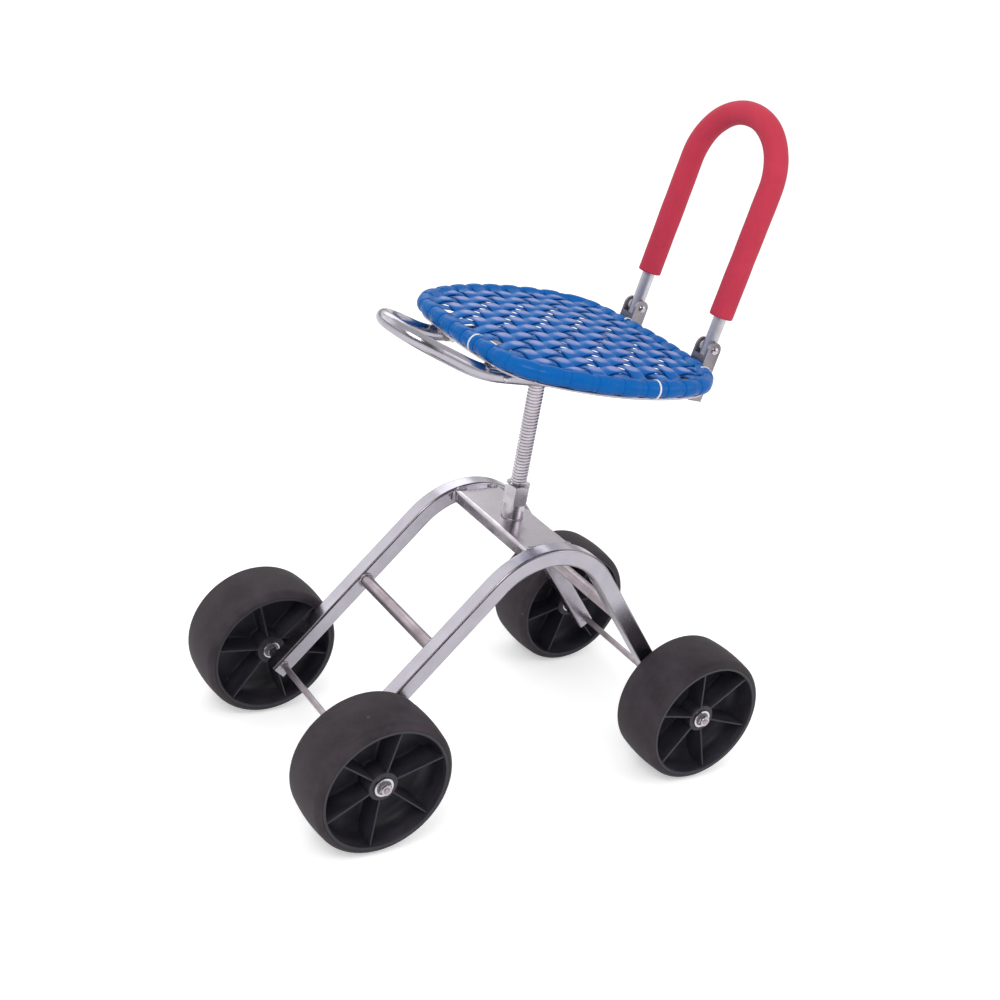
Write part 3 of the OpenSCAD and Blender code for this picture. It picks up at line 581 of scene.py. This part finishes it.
# The hub's half section turned about the axle; where a rib runs the web is raised to it by ribFall, and the
# columns crowd together at the rib's sides. The other half is its mirror image.
def hubGrid(s, phase, centre):
    boss, drum, web = s["bossRadius"], s["drumInside"], s["web"]
    half = hubHalfSection(s)
    near = ribFall[:-1, 0]
    radius = half[:, 0][:, None]
    step = 2 * np.pi / s["ribs"]
    angles, away = [], []
    for k in range(s["ribs"]):
        side = np.arcsin(near[None, :] / radius)
        gap = step - 2 * side[:, -1:]
        mid = side[:, -1:] + gap * np.linspace(0, 1, s["pocketColumns"])[None, 1:-1]
        both = np.hstack([side, mid, step - side[:, ::-1][:, :-1]])
        angles.append(both + k * step)
        off = np.minimum(both, step - both)
        away.append(radius * np.sin(np.minimum(off, np.pi / 2)))
    t = np.hstack(angles) + phase
    d = np.hstack(away)
    top = s["ribInner"] + (s["ribOuter"] - s["ribInner"]) * (radius - boss) / (drum - boss)
    rise = web + (top - web) * np.interp(d, ribFall[:, 0], ribFall[:, 1])
    inPocket = (radius > boss - 0.2) & (radius < drum + 0.1)
    y = np.where(inPocket, np.maximum(half[:, 1][:, None], rise), half[:, 1][:, None])
    radius = np.broadcast_to(radius, t.shape)
    front = np.stack([radius * np.cos(t), y, radius * np.sin(t)], -1)
    back = front[1:-1][::-1] * [1, -1, 1]
    return np.vstack([front, back]) + centre


# Each wheel's tyre and hub about its own centre; the pattern of ribs starts at the wheel's own angle
def makeWheels(s):
    section = tyreSection(s)
    angles = np.linspace(0, 2 * np.pi, s["columns"], endpoint=False)
    for name, (front, side, phase) in wheels.items():
        centre = np.array([front * s["halfBase"], side * s["halfTrack"], s["radius"]])
        body = name + "_wheel"
        tyre = surfaceObject(name + "Tyre", [(turned(section, angles, centre), True, True, None)],
                             tyreTread, body, sharp=40)
        hub = surfaceObject(name + "Hub", [(hubGrid(s, -rad(phase), centre), True, True, None)],
                            hubPlastic, body, sharp=50)
        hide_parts(name + "_tyre")
        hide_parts(name + "_hub")


makeWheels(wheelSpec)
print("wheels made")


# Lift screw, in millimetres
screwSpec = {
    "x": 10.0, "low": 289.5, "high": 531.9, "radius": 10.0, "depth": 1.9, "pitch": 4.0, "columns": 40,
    "lowChamfer": 1.5, "highChamfer": 1.0,
    "marks": (0.0, 0.03, 0.34, 0.37, 0.52, 0.55, 0.86, 0.89),     # shares of a turn
    "depths": (0.08, 0.0, 0.0, 0.08, 0.94, 1.0, 1.0, 0.94),       # shares of the thread's depth
}


# Thread: mark k of each turn lies at z = pitch (turn + k + t / 2 pi), and the radius steps between
# crest and root from mark to mark
def makeScrew(s):
    marks = np.array(s["marks"])
    radii = s["radius"] - s["depth"] * np.array(s["depths"])
    turns = int(np.ceil((s["high"] - s["low"]) / s["pitch"])) + 2
    level = (np.arange(-1, turns)[:, None] + marks[None, :]).ravel()
    r = np.tile(radii, turns + 1)
    t = np.linspace(0, 2 * np.pi, s["columns"] + 1)[None, :]
    z = s["low"] + s["pitch"] * (level[:, None] + t / (2 * np.pi))
    zc = np.clip(z, s["low"], s["high"])
    chamfer = np.clip((zc - s["low"]) / s["lowChamfer"], 0, 1)
    chamfer = chamfer * np.clip((s["high"] - zc) / s["highChamfer"], 0, 1)
    radius = np.minimum(r[:, None], s["radius"] - (s["depth"] + 0.05) * (1 - chamfer))
    radius = np.broadcast_to(radius, z.shape)
    grid = np.stack([radius * np.cos(t) + s["x"], radius * np.sin(t), zc], -1)
    foot, head = [np.zeros_like(grid[:1]) + [s["x"], 0, z0] for z0 in (s["low"], s["high"])]
    whole = np.vstack([foot, grid, head])
    screw = surfaceObject("threadedScrew", [(whole, False, False, None)], zinc, "seat",
                          sharp=35, join=True)
    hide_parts("lift_screw")


makeScrew(screwSpec)
print("screw made")


# Woven seat, in millimetres in the seat's own plane, whose origin is on the post's axis
rimSpec = {
    "corners": [(92, 89), (-52, 69), (-52, -69), (92, -89)],
    "cornerRadius": 66.0, "sideRadii": [242.0, 650.0, 242.0, 650.0], "step": 2.2,
    "tube": 8.9, "swell": 0.25, "turnLength": 13.0, "columns": 24,
}
weaveSpec = {
    "across": {"pitch": 27.9, "width": 19.7, "shift": 1.0, "turn": 2.5},    # strips from left to right
    "along": {"pitch": 25.6, "width": 17.8, "shift": 2.0, "turn": 4.5},     # strips from front to rear
    "most": 9, "shortest": 24.0, "edgeRoom": 3.0,      # most: strips to each side of the middle
    "wave": 2.4, "crown": 2.3, "rimCrown": 1.3, "thick": 0.8, "flat": 0.7, "roundness": 0.97,
    "edgeHeight": 4.6, "middleHeight": 7.8, "middleX": 20.0, "reach": 150.0,
    "wrapRadius": 9.3, "leave": 125.0, "wrapEnd": -75.0, "wrapThin": 0.25, "wrapLimit": 0.62,
    "tuckAngle": 14.0, "tuckDepth": 2.6, "blend": 17.0, "fall": 0.30, "rimCrest": 0.6,
    "rowStep": 3.2, "topColumns": 9, "underColumns": 7, "wrapRows": 19, "tuckRows": 4,
}
tieSpec = {"outwards": 0.7, "merge": 1e-6}
uvPerMm = 0.01


# A quarter turn to the left: (x, y) becomes (-y, x)
def turnLeft(v):
    return np.array([-v[1], v[0]])


# Length along a path up to each of its points
def runLength(path):
    return np.concatenate([[0], np.cumsum(np.linalg.norm(np.diff(path, axis=0), axis=1))])


# The rim's middle line: arcs about four corners, joined by four wide arcs; returns points and normals
def rimPath(s):
    corners = [np.array(c, float) for c in s["corners"]]
    centres = []
    for i in range(4):
        p, q = corners[i], corners[(i + 1) % 4]
        length = np.linalg.norm(q - p)
        reach = np.sqrt((s["sideRadii"][i] - s["cornerRadius"]) ** 2 - (length / 2) ** 2)
        centres.append((p + q) / 2 + turnLeft((q - p) / length) * reach)
    points, normals = [], []
    for i in range(4):
        here, after, before = corners[i], corners[(i + 1) % 4], centres[(i + 3) % 4]
        for centre, r, a, b in ((here, s["cornerRadius"], here - before, here - centres[i]),
                                (centres[i], s["sideRadii"][i], here - centres[i], after - centres[i])):
            start, stop = np.arctan2(a[1], a[0]), np.arctan2(b[1], b[0])
            stop += 2 * np.pi * (stop < start)
            n = max(int(r * (stop - start) / s["step"]), 4)
            t = np.linspace(start, stop, n, endpoint=False)
            out = np.stack([np.cos(t), np.sin(t)], 1)
            points.append(centre + r * out)
            normals.append(out)
    return np.vstack(points), np.vstack(normals)


rimPoints, rimNormals = rimPath(rimSpec)


# Where lines p + u d cross the rim's middle line drawn inwards by inset: the rim is convex, so each of
# its tangent lines bounds u from one side. Returns u at both ends and the outward normals there.
def lineEnds(p, d, inset):
    edge = (rimPoints * rimNormals).sum(1) - inset
    along = rimNormals @ d
    room = edge[None, :] - p @ rimNormals.T
    with np.errstate(divide="ignore", invalid="ignore"):
        u = room / along[None, :]
    high = np.where(along[None, :] > 1e-6, u, np.inf)
    low = np.where(along[None, :] < -1e-6, u, -np.inf)
    i, j = high.argmin(1), low.argmax(1)
    k = np.arange(len(p))
    return low[k, j], high[k, i], rimNormals[j], rimNormals[i]


# Smooth step: 3 t^2 - 2 t^3 between 0 and 1
def smooth(t):
    t = np.clip(t, 0, 1)
    return t * t * (3 - 2 * t)


# The panel is a low dome: its height falls with the square of the distance from its middle
def domeHeight(s, x, y):
    away = np.sqrt(((x - s["middleX"]) / s["reach"]) ** 2 + (y / s["reach"]) ** 2)
    return s["middleHeight"] + (s["edgeHeight"] - s["middleHeight"]) * np.clip(away, 0, 1.1) ** 2


# Columns of a strip's section, from one edge over the top to the other and back underneath: places across
# it from -1 to 1, the round of its top, and the thickness taken off below
def stripSection(s):
    over, under = s["topColumns"], s["underColumns"]
    v = np.concatenate([np.linspace(-1, 1, over), np.linspace(1, -1, under)])
    arch = np.sqrt(np.clip(1 - (v * s["roundness"]) ** 2, 0, 1))
    return v, arch, np.concatenate([np.zeros(over), np.full(under, s["thick"])])


# A strip's end goes round the rim tube, at radius r and angle a from the outside; a strip that meets the
# rim too sideways is tucked in under its neighbours instead
def wrapEnd(s, d, foot, normal, rimLevel):
    wraps = abs((normal[s["topColumns"] // 2] * d).sum()) > s["wrapLimit"]
    stop = s["wrapEnd"] if wraps else s["leave"] - s["tuckAngle"]
    sink = 0.0 if wraps else s["tuckDepth"]
    a = rad(np.linspace(s["leave"], stop, s["wrapRows"] if wraps else s["tuckRows"])[1:])[:, None]
    fade = np.linspace(0, 1, len(a))[:, None]
    r = s["wrapRadius"] + rimLevel[None, :] * (1 - s["wrapThin"] * fade) - sink * fade
    flat = foot[None] + (r * np.cos(a))[..., None] * normal[None]
    return np.concatenate([flat, (r * np.sin(a))[..., None]], -1)


# One strip: it runs over and under its neighbours as wave tanh(f cos) / tanh f, bulges across its width,
# and at each end leaves the panel, rides up and goes round the rim tube
def stripGrid(s, d, side, offset, width, phase, crossed, crossSide, sign):
    v, arch, under = stripSection(s)
    rimLevel = s["rimCrown"] * arch - under
    p = side[None, :] * (offset + v[:, None] * width / 2)
    inset = -s["wrapRadius"] * np.cos(rad(s["leave"]))
    low, high, nLow, nHigh = lineEnds(p, d, inset)
    if (high - low).min() < s["shortest"]:
        return None
    rows = max(int((high - low).mean() / s["rowStep"]), 8)
    t = np.linspace(0, 1, rows)[:, None]
    u = low[None, :] + (high - low)[None, :] * t
    plan = p[None] + u[..., None] * d
    turn = np.cos(np.pi * (plan @ crossSide - crossed["shift"]) / crossed["pitch"] + np.pi * phase)
    wave = sign * s["wave"] * np.tanh(s["flat"] * turn) / np.tanh(s["flat"])
    bulge = (s["crown"] * arch)[None, :]
    panel = domeHeight(s, plan[..., 0], plan[..., 1]) + wave + bulge - under[None, :]
    fromEnd = np.minimum(u - low[None, :], high[None, :] - u)
    lifted = s["wrapRadius"] * np.sin(rad(s["leave"])) - s["fall"] * fromEnd + rimLevel[None, :]
    h = smooth(fromEnd / s["blend"])
    middle = np.concatenate([plan, (lifted * (1 - h) + panel * h)[..., None]], -1)
    ends = [wrapEnd(s, d, p + place[:, None] * d + normal * inset, normal, rimLevel)
            for normal, place in ((nLow, low), (nHigh, high))]
    # The crest height, from the bottom of the wave to the top of the bulge, later sets the painted shade on
    # low parts and the painted highlight on crests
    crest = (wave + bulge + s["wave"]) / (2 * s["wave"] + s["crown"])
    lift = np.stack([s["rimCrest"] * (1 - h) + crest * h, h], -1)
    flats = [np.zeros(e.shape[:2] + (2,)) + [s["rimCrest"], 0] for e in ends]
    return np.vstack([ends[0][::-1], middle, ends[1]]), np.vstack([flats[0], lift, flats[1]])


# Along a strip u is its length, across it v runs from edge to edge, and the second pair is its lift
def stripUv(s, grid, lift):
    run = runLength(grid[:, s["topColumns"] // 2]) * uvPerMm
    across = np.concatenate([np.linspace(0, 1, s["topColumns"]), np.linspace(1, 0, s["underColumns"])])
    return np.concatenate([np.stack(np.broadcast_arrays(run[:, None], across[None, :]), -1), lift], -1)


# Strips of both directions, each side by side from the middle outwards as far as the rim reaches
def makeWeave(s):
    ahead = np.array([np.cos(rad(s["along"]["turn"])), np.sin(rad(s["along"]["turn"]))])
    across = np.array([-np.sin(rad(s["across"]["turn"])), np.cos(rad(s["across"]["turn"]))])
    grids = []
    families = ((s["across"], s["along"], across, 1), (s["along"], s["across"], ahead, -1))
    for own, other, d, sign in families:
        side = turnLeft(d) * -sign
        crossSide = turnLeft(across if sign < 0 else ahead) * sign
        reach = rimPoints @ side
        most, least = reach.max() - s["edgeRoom"], reach.min() + s["edgeRoom"]
        for i in range(-s["most"], s["most"] + 1):
            offset = own["shift"] + i * own["pitch"]
            if offset + own["width"] / 2 > most or offset - own["width"] / 2 < least:
                continue
            made = stripGrid(s, d, side, offset, own["width"], i, other, crossSide, sign)
            if made is not None:
                grid, lift = made
                grids.append((onSeat(grid), False, True, stripUv(s, grid, lift)))
    panel = surfaceObject("wovenPanel", grids, blueStrip, "seat", sharp=60, capEnds=True)
    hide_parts("seat_weave")
    print("woven strips:", len(grids))


# Under the strips the rim is bound once with the same plastic; its radius swells a little at each turn
def makeRimBinding(s):
    run = runLength(rimPoints)
    swell = s["swell"] * np.abs(np.sin(np.pi * run / s["turnLength"]))
    path = np.concatenate([rimPoints, np.zeros((len(rimPoints), 1))], 1)
    out = np.concatenate([rimNormals, np.zeros((len(rimPoints), 1))], 1)
    up = np.zeros_like(out) + [0, 0, 1]
    grid = ringsOn(path, out, up, s["tube"] + swell, s["columns"])
    t = np.linspace(0, 1, s["columns"])
    uv = np.stack(np.broadcast_arrays(run[:, None] * uvPerMm, t[None, :], weaveSpec["rimCrest"], 0.0), -1)
    binding = surfaceObject("rimBinding", [(onSeat(grid), True, True, uv)], blueStrip, "seat")
    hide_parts("rim_wrap")


# The CAD model's white ties, moved outwards from the rim's middle line so that they lie over the strips
def makeTies(s):
    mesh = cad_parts["rim_ties"].data.copy()
    mesh.name = "rimTieBands"
    mergeDoubles(mesh, s["merge"])
    world = np.zeros(len(mesh.vertices) * 3, np.float32)
    mesh.vertices.foreach_get("co", world)
    placed = world.reshape(-1, 3) / mm - [seatPlace["postX"], 0, seatPlace["height"]]
    local = turnY(placed, -seatPlace["slope"])
    nearest = ((local[:, None, :2] - rimPoints[None]) ** 2).sum(-1).argmin(1)
    foot = np.hstack([rimPoints[nearest], np.zeros((len(local), 1))])
    away = local - foot
    away *= 1 + s["outwards"] / np.linalg.norm(away, axis=1)[:, None]
    mesh.vertices.foreach_set("co", (onSeat(foot + away) * mm).astype(np.float32).ravel())
    mesh.materials.clear()
    mesh.materials.append(whitePlastic)
    ties = bpy.data.objects.new("rimTieBands", mesh)
    bpy.context.scene.collection.objects.link(ties)
    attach(ties, "seat")
    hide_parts("rim_ties")


makeWeave(weaveSpec)
makeRimBinding(rimSpec)
makeTies(tieSpec)
print("seat woven")


# Foam grip, in millimetres along and across the handle
gripSpec = {
    "halfGap": 74.2, "height": 270.0, "bend": 73.0, "leftStart": 39.5, "rightStart": 46.0,
    "radius": 14.5, "bore": 8.1, "round": 1.8, "step": 3.0, "columns": 40, "bendRows": 36, "roundRows": 6,
    "waves": ((0.10, 17.0, 0.0), (0.08, 7.3, 1.0)),     # height, length over 2 pi and start of each wobble
}


# The grip follows the handle: up a leg, round two quarter bends, down the other leg
def gripPath(s):
    b, g, h = s["bend"], s["halfGap"], s["height"]
    up = np.arange(s["leftStart"], h - b, s["step"])
    down = np.arange(h - b, s["rightStart"], -s["step"])
    a = np.linspace(0, np.pi / 2, s["bendRows"])[:, None]
    first = np.hstack([-g + b * (1 - np.cos(a)), h - b + b * np.sin(a)])
    second = np.hstack([g - b * (1 - np.cos(a[::-1])), h - b + b * np.sin(a[::-1])])
    points = np.vstack([np.stack([np.full(len(up), -g), up], 1), first, second,
                        np.stack([np.full(len(down), g), down], 1)[1:], [[g, s["rightStart"]]]])
    return np.stack([np.zeros(len(points)), points[:, 0], points[:, 1]], 1)


# A closed sleeve: the outside with a slight wobble, a rounded end ring at both ends, and the bore inside
def makeGrip(s):
    path = gripPath(s)
    step = np.gradient(path, axis=0)
    step /= np.linalg.norm(step, axis=1)[:, None]
    a = np.zeros_like(path) + [1, 0, 0]
    b = np.cross(step, a)
    run = runLength(path)
    wobble = sum(high * np.sin(run / length + start) for high, length, start in s["waves"])
    body = ringsOn(path, a, b, s["radius"] + wobble, s["columns"])
    flat = s["radius"] - s["round"]
    profile = [(s["bore"], 0.0), (s["bore"] + 2.5, 0.0), (flat - 1.5, 0.0)]
    profile += [(flat + s["round"] * np.sin(q), s["round"] * (1 - np.cos(q)))
                for q in np.linspace(0, np.pi / 2, s["roundRows"])]
    rims = []
    for end, way in ((0, 1), (-1, -1)):
        sides = a[end][None], b[end][None]
        places = [(path[end] + way * inward * step[end])[None] for r, inward in profile]
        rims.append(np.array([ringsOn(place, *sides, r, s["columns"])[0]
                              for place, (r, inward) in zip(places, profile)]))
    inner = ringsOn(path, a, b, s["bore"], s["columns"])[::-1]
    whole = np.vstack([rims[0], body[2:-2], rims[1][::-1], inner[1:-1]])
    grip = surfaceObject("foamSleeve", [(onHandle(whole), True, True, None)], redFoam, "handle",
                         sharp=50)
    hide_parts("foam_grip")
    print("grip length %.0f mm" % run[-1])


makeGrip(gripSpec)


# Weld beads, in millimetres
weldSpec = {
    "bead": 1.5, "ripple": 1.5, "plateBead": 2.6, "postBead": 0.9, "columns": 10,
    "post": {"place": (10.0, 0.0, 316.7), "radius": 13.2},
    "bars": {"places": ((-133.75, 199.26), (145.0, 200.2)), "side": 83.6, "radius": 8.6},
    "axles": {"x": 233.5, "sides": (-106.6, -83.9, 83.9, 106.6), "z": 90.0, "radius": 4.9},
    # beads along the plate's sides and down its front corners, from (x, y, z) to (x, y, z) on the left side
    "plate": (((-22.0, 83.5, 316.6), (-6.0, 83.5, 316.6), 24),
              ((26.0, 83.5, 316.6), (42.0, 83.5, 316.6), 24),
              ((-24.4, 82.4, 300.0), (-24.4, 82.4, 315.0), 14)),
}


# A bead is a thin tube along a path whose radius rises and falls with each drop of the weld
def weldBead(path, r, ripple, closed):
    path = np.asarray(path, float)
    step = np.roll(path, -1, 0) - np.roll(path, 1, 0) if closed else np.gradient(path, axis=0)
    step /= np.linalg.norm(step, axis=1)[:, None]
    guide = np.where(np.abs(step[:, 2:3]) < 0.9, [[0.0, 0.0, 1.0]], [[1.0, 0.0, 0.0]])
    a = np.cross(step, guide)
    a /= np.linalg.norm(a, axis=1)[:, None]
    b = np.cross(step, a)
    run = runLength(path)
    swell = 0.80 + 0.20 * np.abs(np.cos(np.pi * run / ripple)) + 0.06 * np.sin(run * 1.7)
    if not closed:
        swell *= np.clip(np.minimum(run, run[-1] - run) / (r * 1.2) + 0.25, 0, 1)
    return ringsOn(path, a, b, r * swell, weldSpec["columns"])


# Circle round a place in the plane of the two directions a and b
def circlePath(place, a, b, r, n=72):
    t = rad(np.linspace(0, 360, n, endpoint=False))[:, None]
    return np.array(place) + r * (np.cos(t) * a + np.sin(t) * b)


# Rings round the post, the cross bars and the axles where they meet the frame, and beads along the plate
def makeWelds(s):
    x, y, z = np.eye(3)
    post, bars, axles = s["post"], s["bars"], s["axles"]
    closed = [(circlePath((barX, side * bars["side"], barZ), x, z, bars["radius"]), s["bead"])
              for barX, barZ in bars["places"] for side in (-1, 1)]
    closed += [(circlePath((front * axles["x"], side, axles["z"]), x, z, axles["radius"], 36), s["bead"])
               for front in (-1, 1) for side in axles["sides"]]
    closed.append((circlePath(post["place"], x, y, post["radius"]), s["postBead"]))
    grids = [(weldBead(path, r, s["ripple"], True), True, True, None) for path, r in closed]
    surfaceObject("frameWelds", grids, weldMetal, "frame")
    grids = []
    for side in (-1, 1):
        for start, stop, rows in s["plate"]:
            t = np.linspace(0, 1, rows)[:, None]
            path = (np.array(start) * (1 - t) + np.array(stop) * t) * [1, side, 1]
            grids.append((weldBead(path, s["plateBead"], s["ripple"] * 2, False), False, True, None))
    surfaceObject("plateWelds", grids, weldMetal, "frame", capEnds=True)


makeWelds(weldSpec)
print("welds made")


# The finish that each CAD node gets
finishes = {
    archChrome: ["left_arch", "right_arch"],
    chrome: ["bow_frame"],
    satinZinc: ["handle_tube"],
    zinc: ["top_plate", "socket_tube", "thread_nut", "axle_nuts", "axle_bushes", "pivot_bolts",
           "pivot_nuts", "seat_bolts", "seat_nuts", "stop_bolt", "stop_washer", "rim_hoop"],
    steel: ["front_axle", "rear_axle", "front_cross_bar", "rear_cross_bar", "mount_plate",
            "seat_ring", "seat_lugs"],
    stampedSteel: ["left_bracket", "right_bracket"],
    whitePlastic: ["handle_washers"],
    bearingSteel: ["axle_washers"] + [w + "_bearings" for w in wheels],
}


def dressNodes():    # a node's own material is taken off first
    for material, names in finishes.items():
        for name in names:
            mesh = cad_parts[name].data
            mesh.materials.clear()
            mesh.materials.append(material)


dressNodes()
print("nodes dressed")


# Room and light, in metres and watts
roomSpec = {
    "floor": rgb(0.86, 0.86, 0.86), "size": 40.0, "floorSeen": 0.42, "floorShiny": 0.14,
    "world": 0.78,
    # brightness of the walls in reflections against height, from straight below (0) to straight above (1)
    "walls": [(0.0, 0.8), (0.49, 0.8), (0.51, 0.22), (0.56, 0.28),
              (0.60, 1.0), (0.64, 1.0), (0.70, 0.64), (1.0, 0.60)],
    "dark": {"toward": (-0.55, -0.74, 0.39), "share": 0.88, "edge": [(0.62, 0.0), (0.86, 1.0)]},
    "card": {"toward": (-0.469, 0.737, 0.487), "share": 0.55, "edge": [(0.88, 0.0), (0.96, 1.0)]},
    "white": rgb(1, 1, 1),
}
lights = {
    "keyBox": {"place": (-1.6, -1.2, 2.4), "aim": (0, 0, 0.35), "size": (1.4, 1.0), "power": 26.0},
    "fillBox": {"place": (1.9, -1.7, 1.5), "aim": (0, 0, 0.35), "size": (1.6, 1.2), "power": 9.0},
    "rimBox": {"place": (0.6, 2.2, 2.0), "aim": (0, 0, 0.4), "size": (1.6, 1.0), "power": 8.0},
}


# The floor is lit as it is and gets what it lacks of white where the camera looks at it
def makeFloor(s):
    g = Graph("paleFloor")
    diffuse = g.make("BsdfDiffuse", {}, {"Color": s["floor"]})
    seen = g.make("LightPath", out="Is Camera Ray")
    shiny = g.make("LightPath", out="Is Glossy Ray")
    level = seen * s["floorSeen"] + shiny * s["floorShiny"]
    glow = g.make("Emission", {}, {"Color": s["white"], "Strength": level})
    both = g.make("AddShader", {}, {0: diffuse, 1: glow})
    g.make("OutputMaterial", {}, {"Surface": both})
    half = s["size"] / 2
    corners = [(-half, -half, 0), (half, -half, 0), (half, half, 0), (-half, half, 0)]
    mesh = bpy.data.meshes.new("floor")
    mesh.from_pydata(corners, [], [(0, 1, 2, 3)])
    mesh.materials.append(g.material)
    floor = bpy.data.objects.new("floor", mesh)
    bpy.context.scene.collection.objects.link(floor)


# Share of a patch of the walls: the direction's dot product with the patch's own, through a soft edge
def wallPatch(g, x, y, z, patch):
    facing = x * patch["toward"][0] + y * patch["toward"][1] + z * patch["toward"][2]
    return patch["share"] * g.ramp(facing, patch["edge"])


# The world is white to the camera; in reflections it has grey walls, a dark gap and a bright card
def makeWorld(s):
    world = bpy.data.worlds.new("studio")
    bpy.context.scene.world = world
    world.use_nodes = True
    g = Graph("studio", world.node_tree)
    x, y, z = g.split(g.make("TexCoord", out="Generated"))
    seen = g.make("LightPath", out="Is Camera Ray")
    shiny = g.make("LightPath", out="Is Glossy Ray")
    wall = g.ramp(z * 0.5 + 0.5, s["walls"])
    gap = 1 - wallPatch(g, x, y, z, s["dark"])
    wall = wall + wallPatch(g, x, y, z, s["card"])
    level = seen * 1.0 + (1 - seen) * (shiny * wall * gap + (1 - shiny) * s["world"])
    background = g.make("Background", {}, {"Color": s["white"], "Strength": level})
    g.make("OutputWorld", {}, {"Surface": background})


# A rectangular lamp at its place, turned to its aim
def areaLight(name, s):
    data = bpy.data.lights.new(name, "AREA")
    data.shape = "RECTANGLE"
    data.size, data.size_y = s["size"]
    data.energy = s["power"]
    lamp = bpy.data.objects.new(name, data)
    bpy.context.scene.collection.objects.link(lamp)
    lamp.location = s["place"]
    lamp.rotation_euler = (Vector(s["aim"]) - Vector(s["place"])).to_track_quat("-Z", "Y").to_euler()


makeFloor(roomSpec)
makeWorld(roomSpec)
for name, spec in lights.items():
    areaLight(name, spec)
bpy.context.scene.view_settings.view_transform = "Standard"
print("room lit")
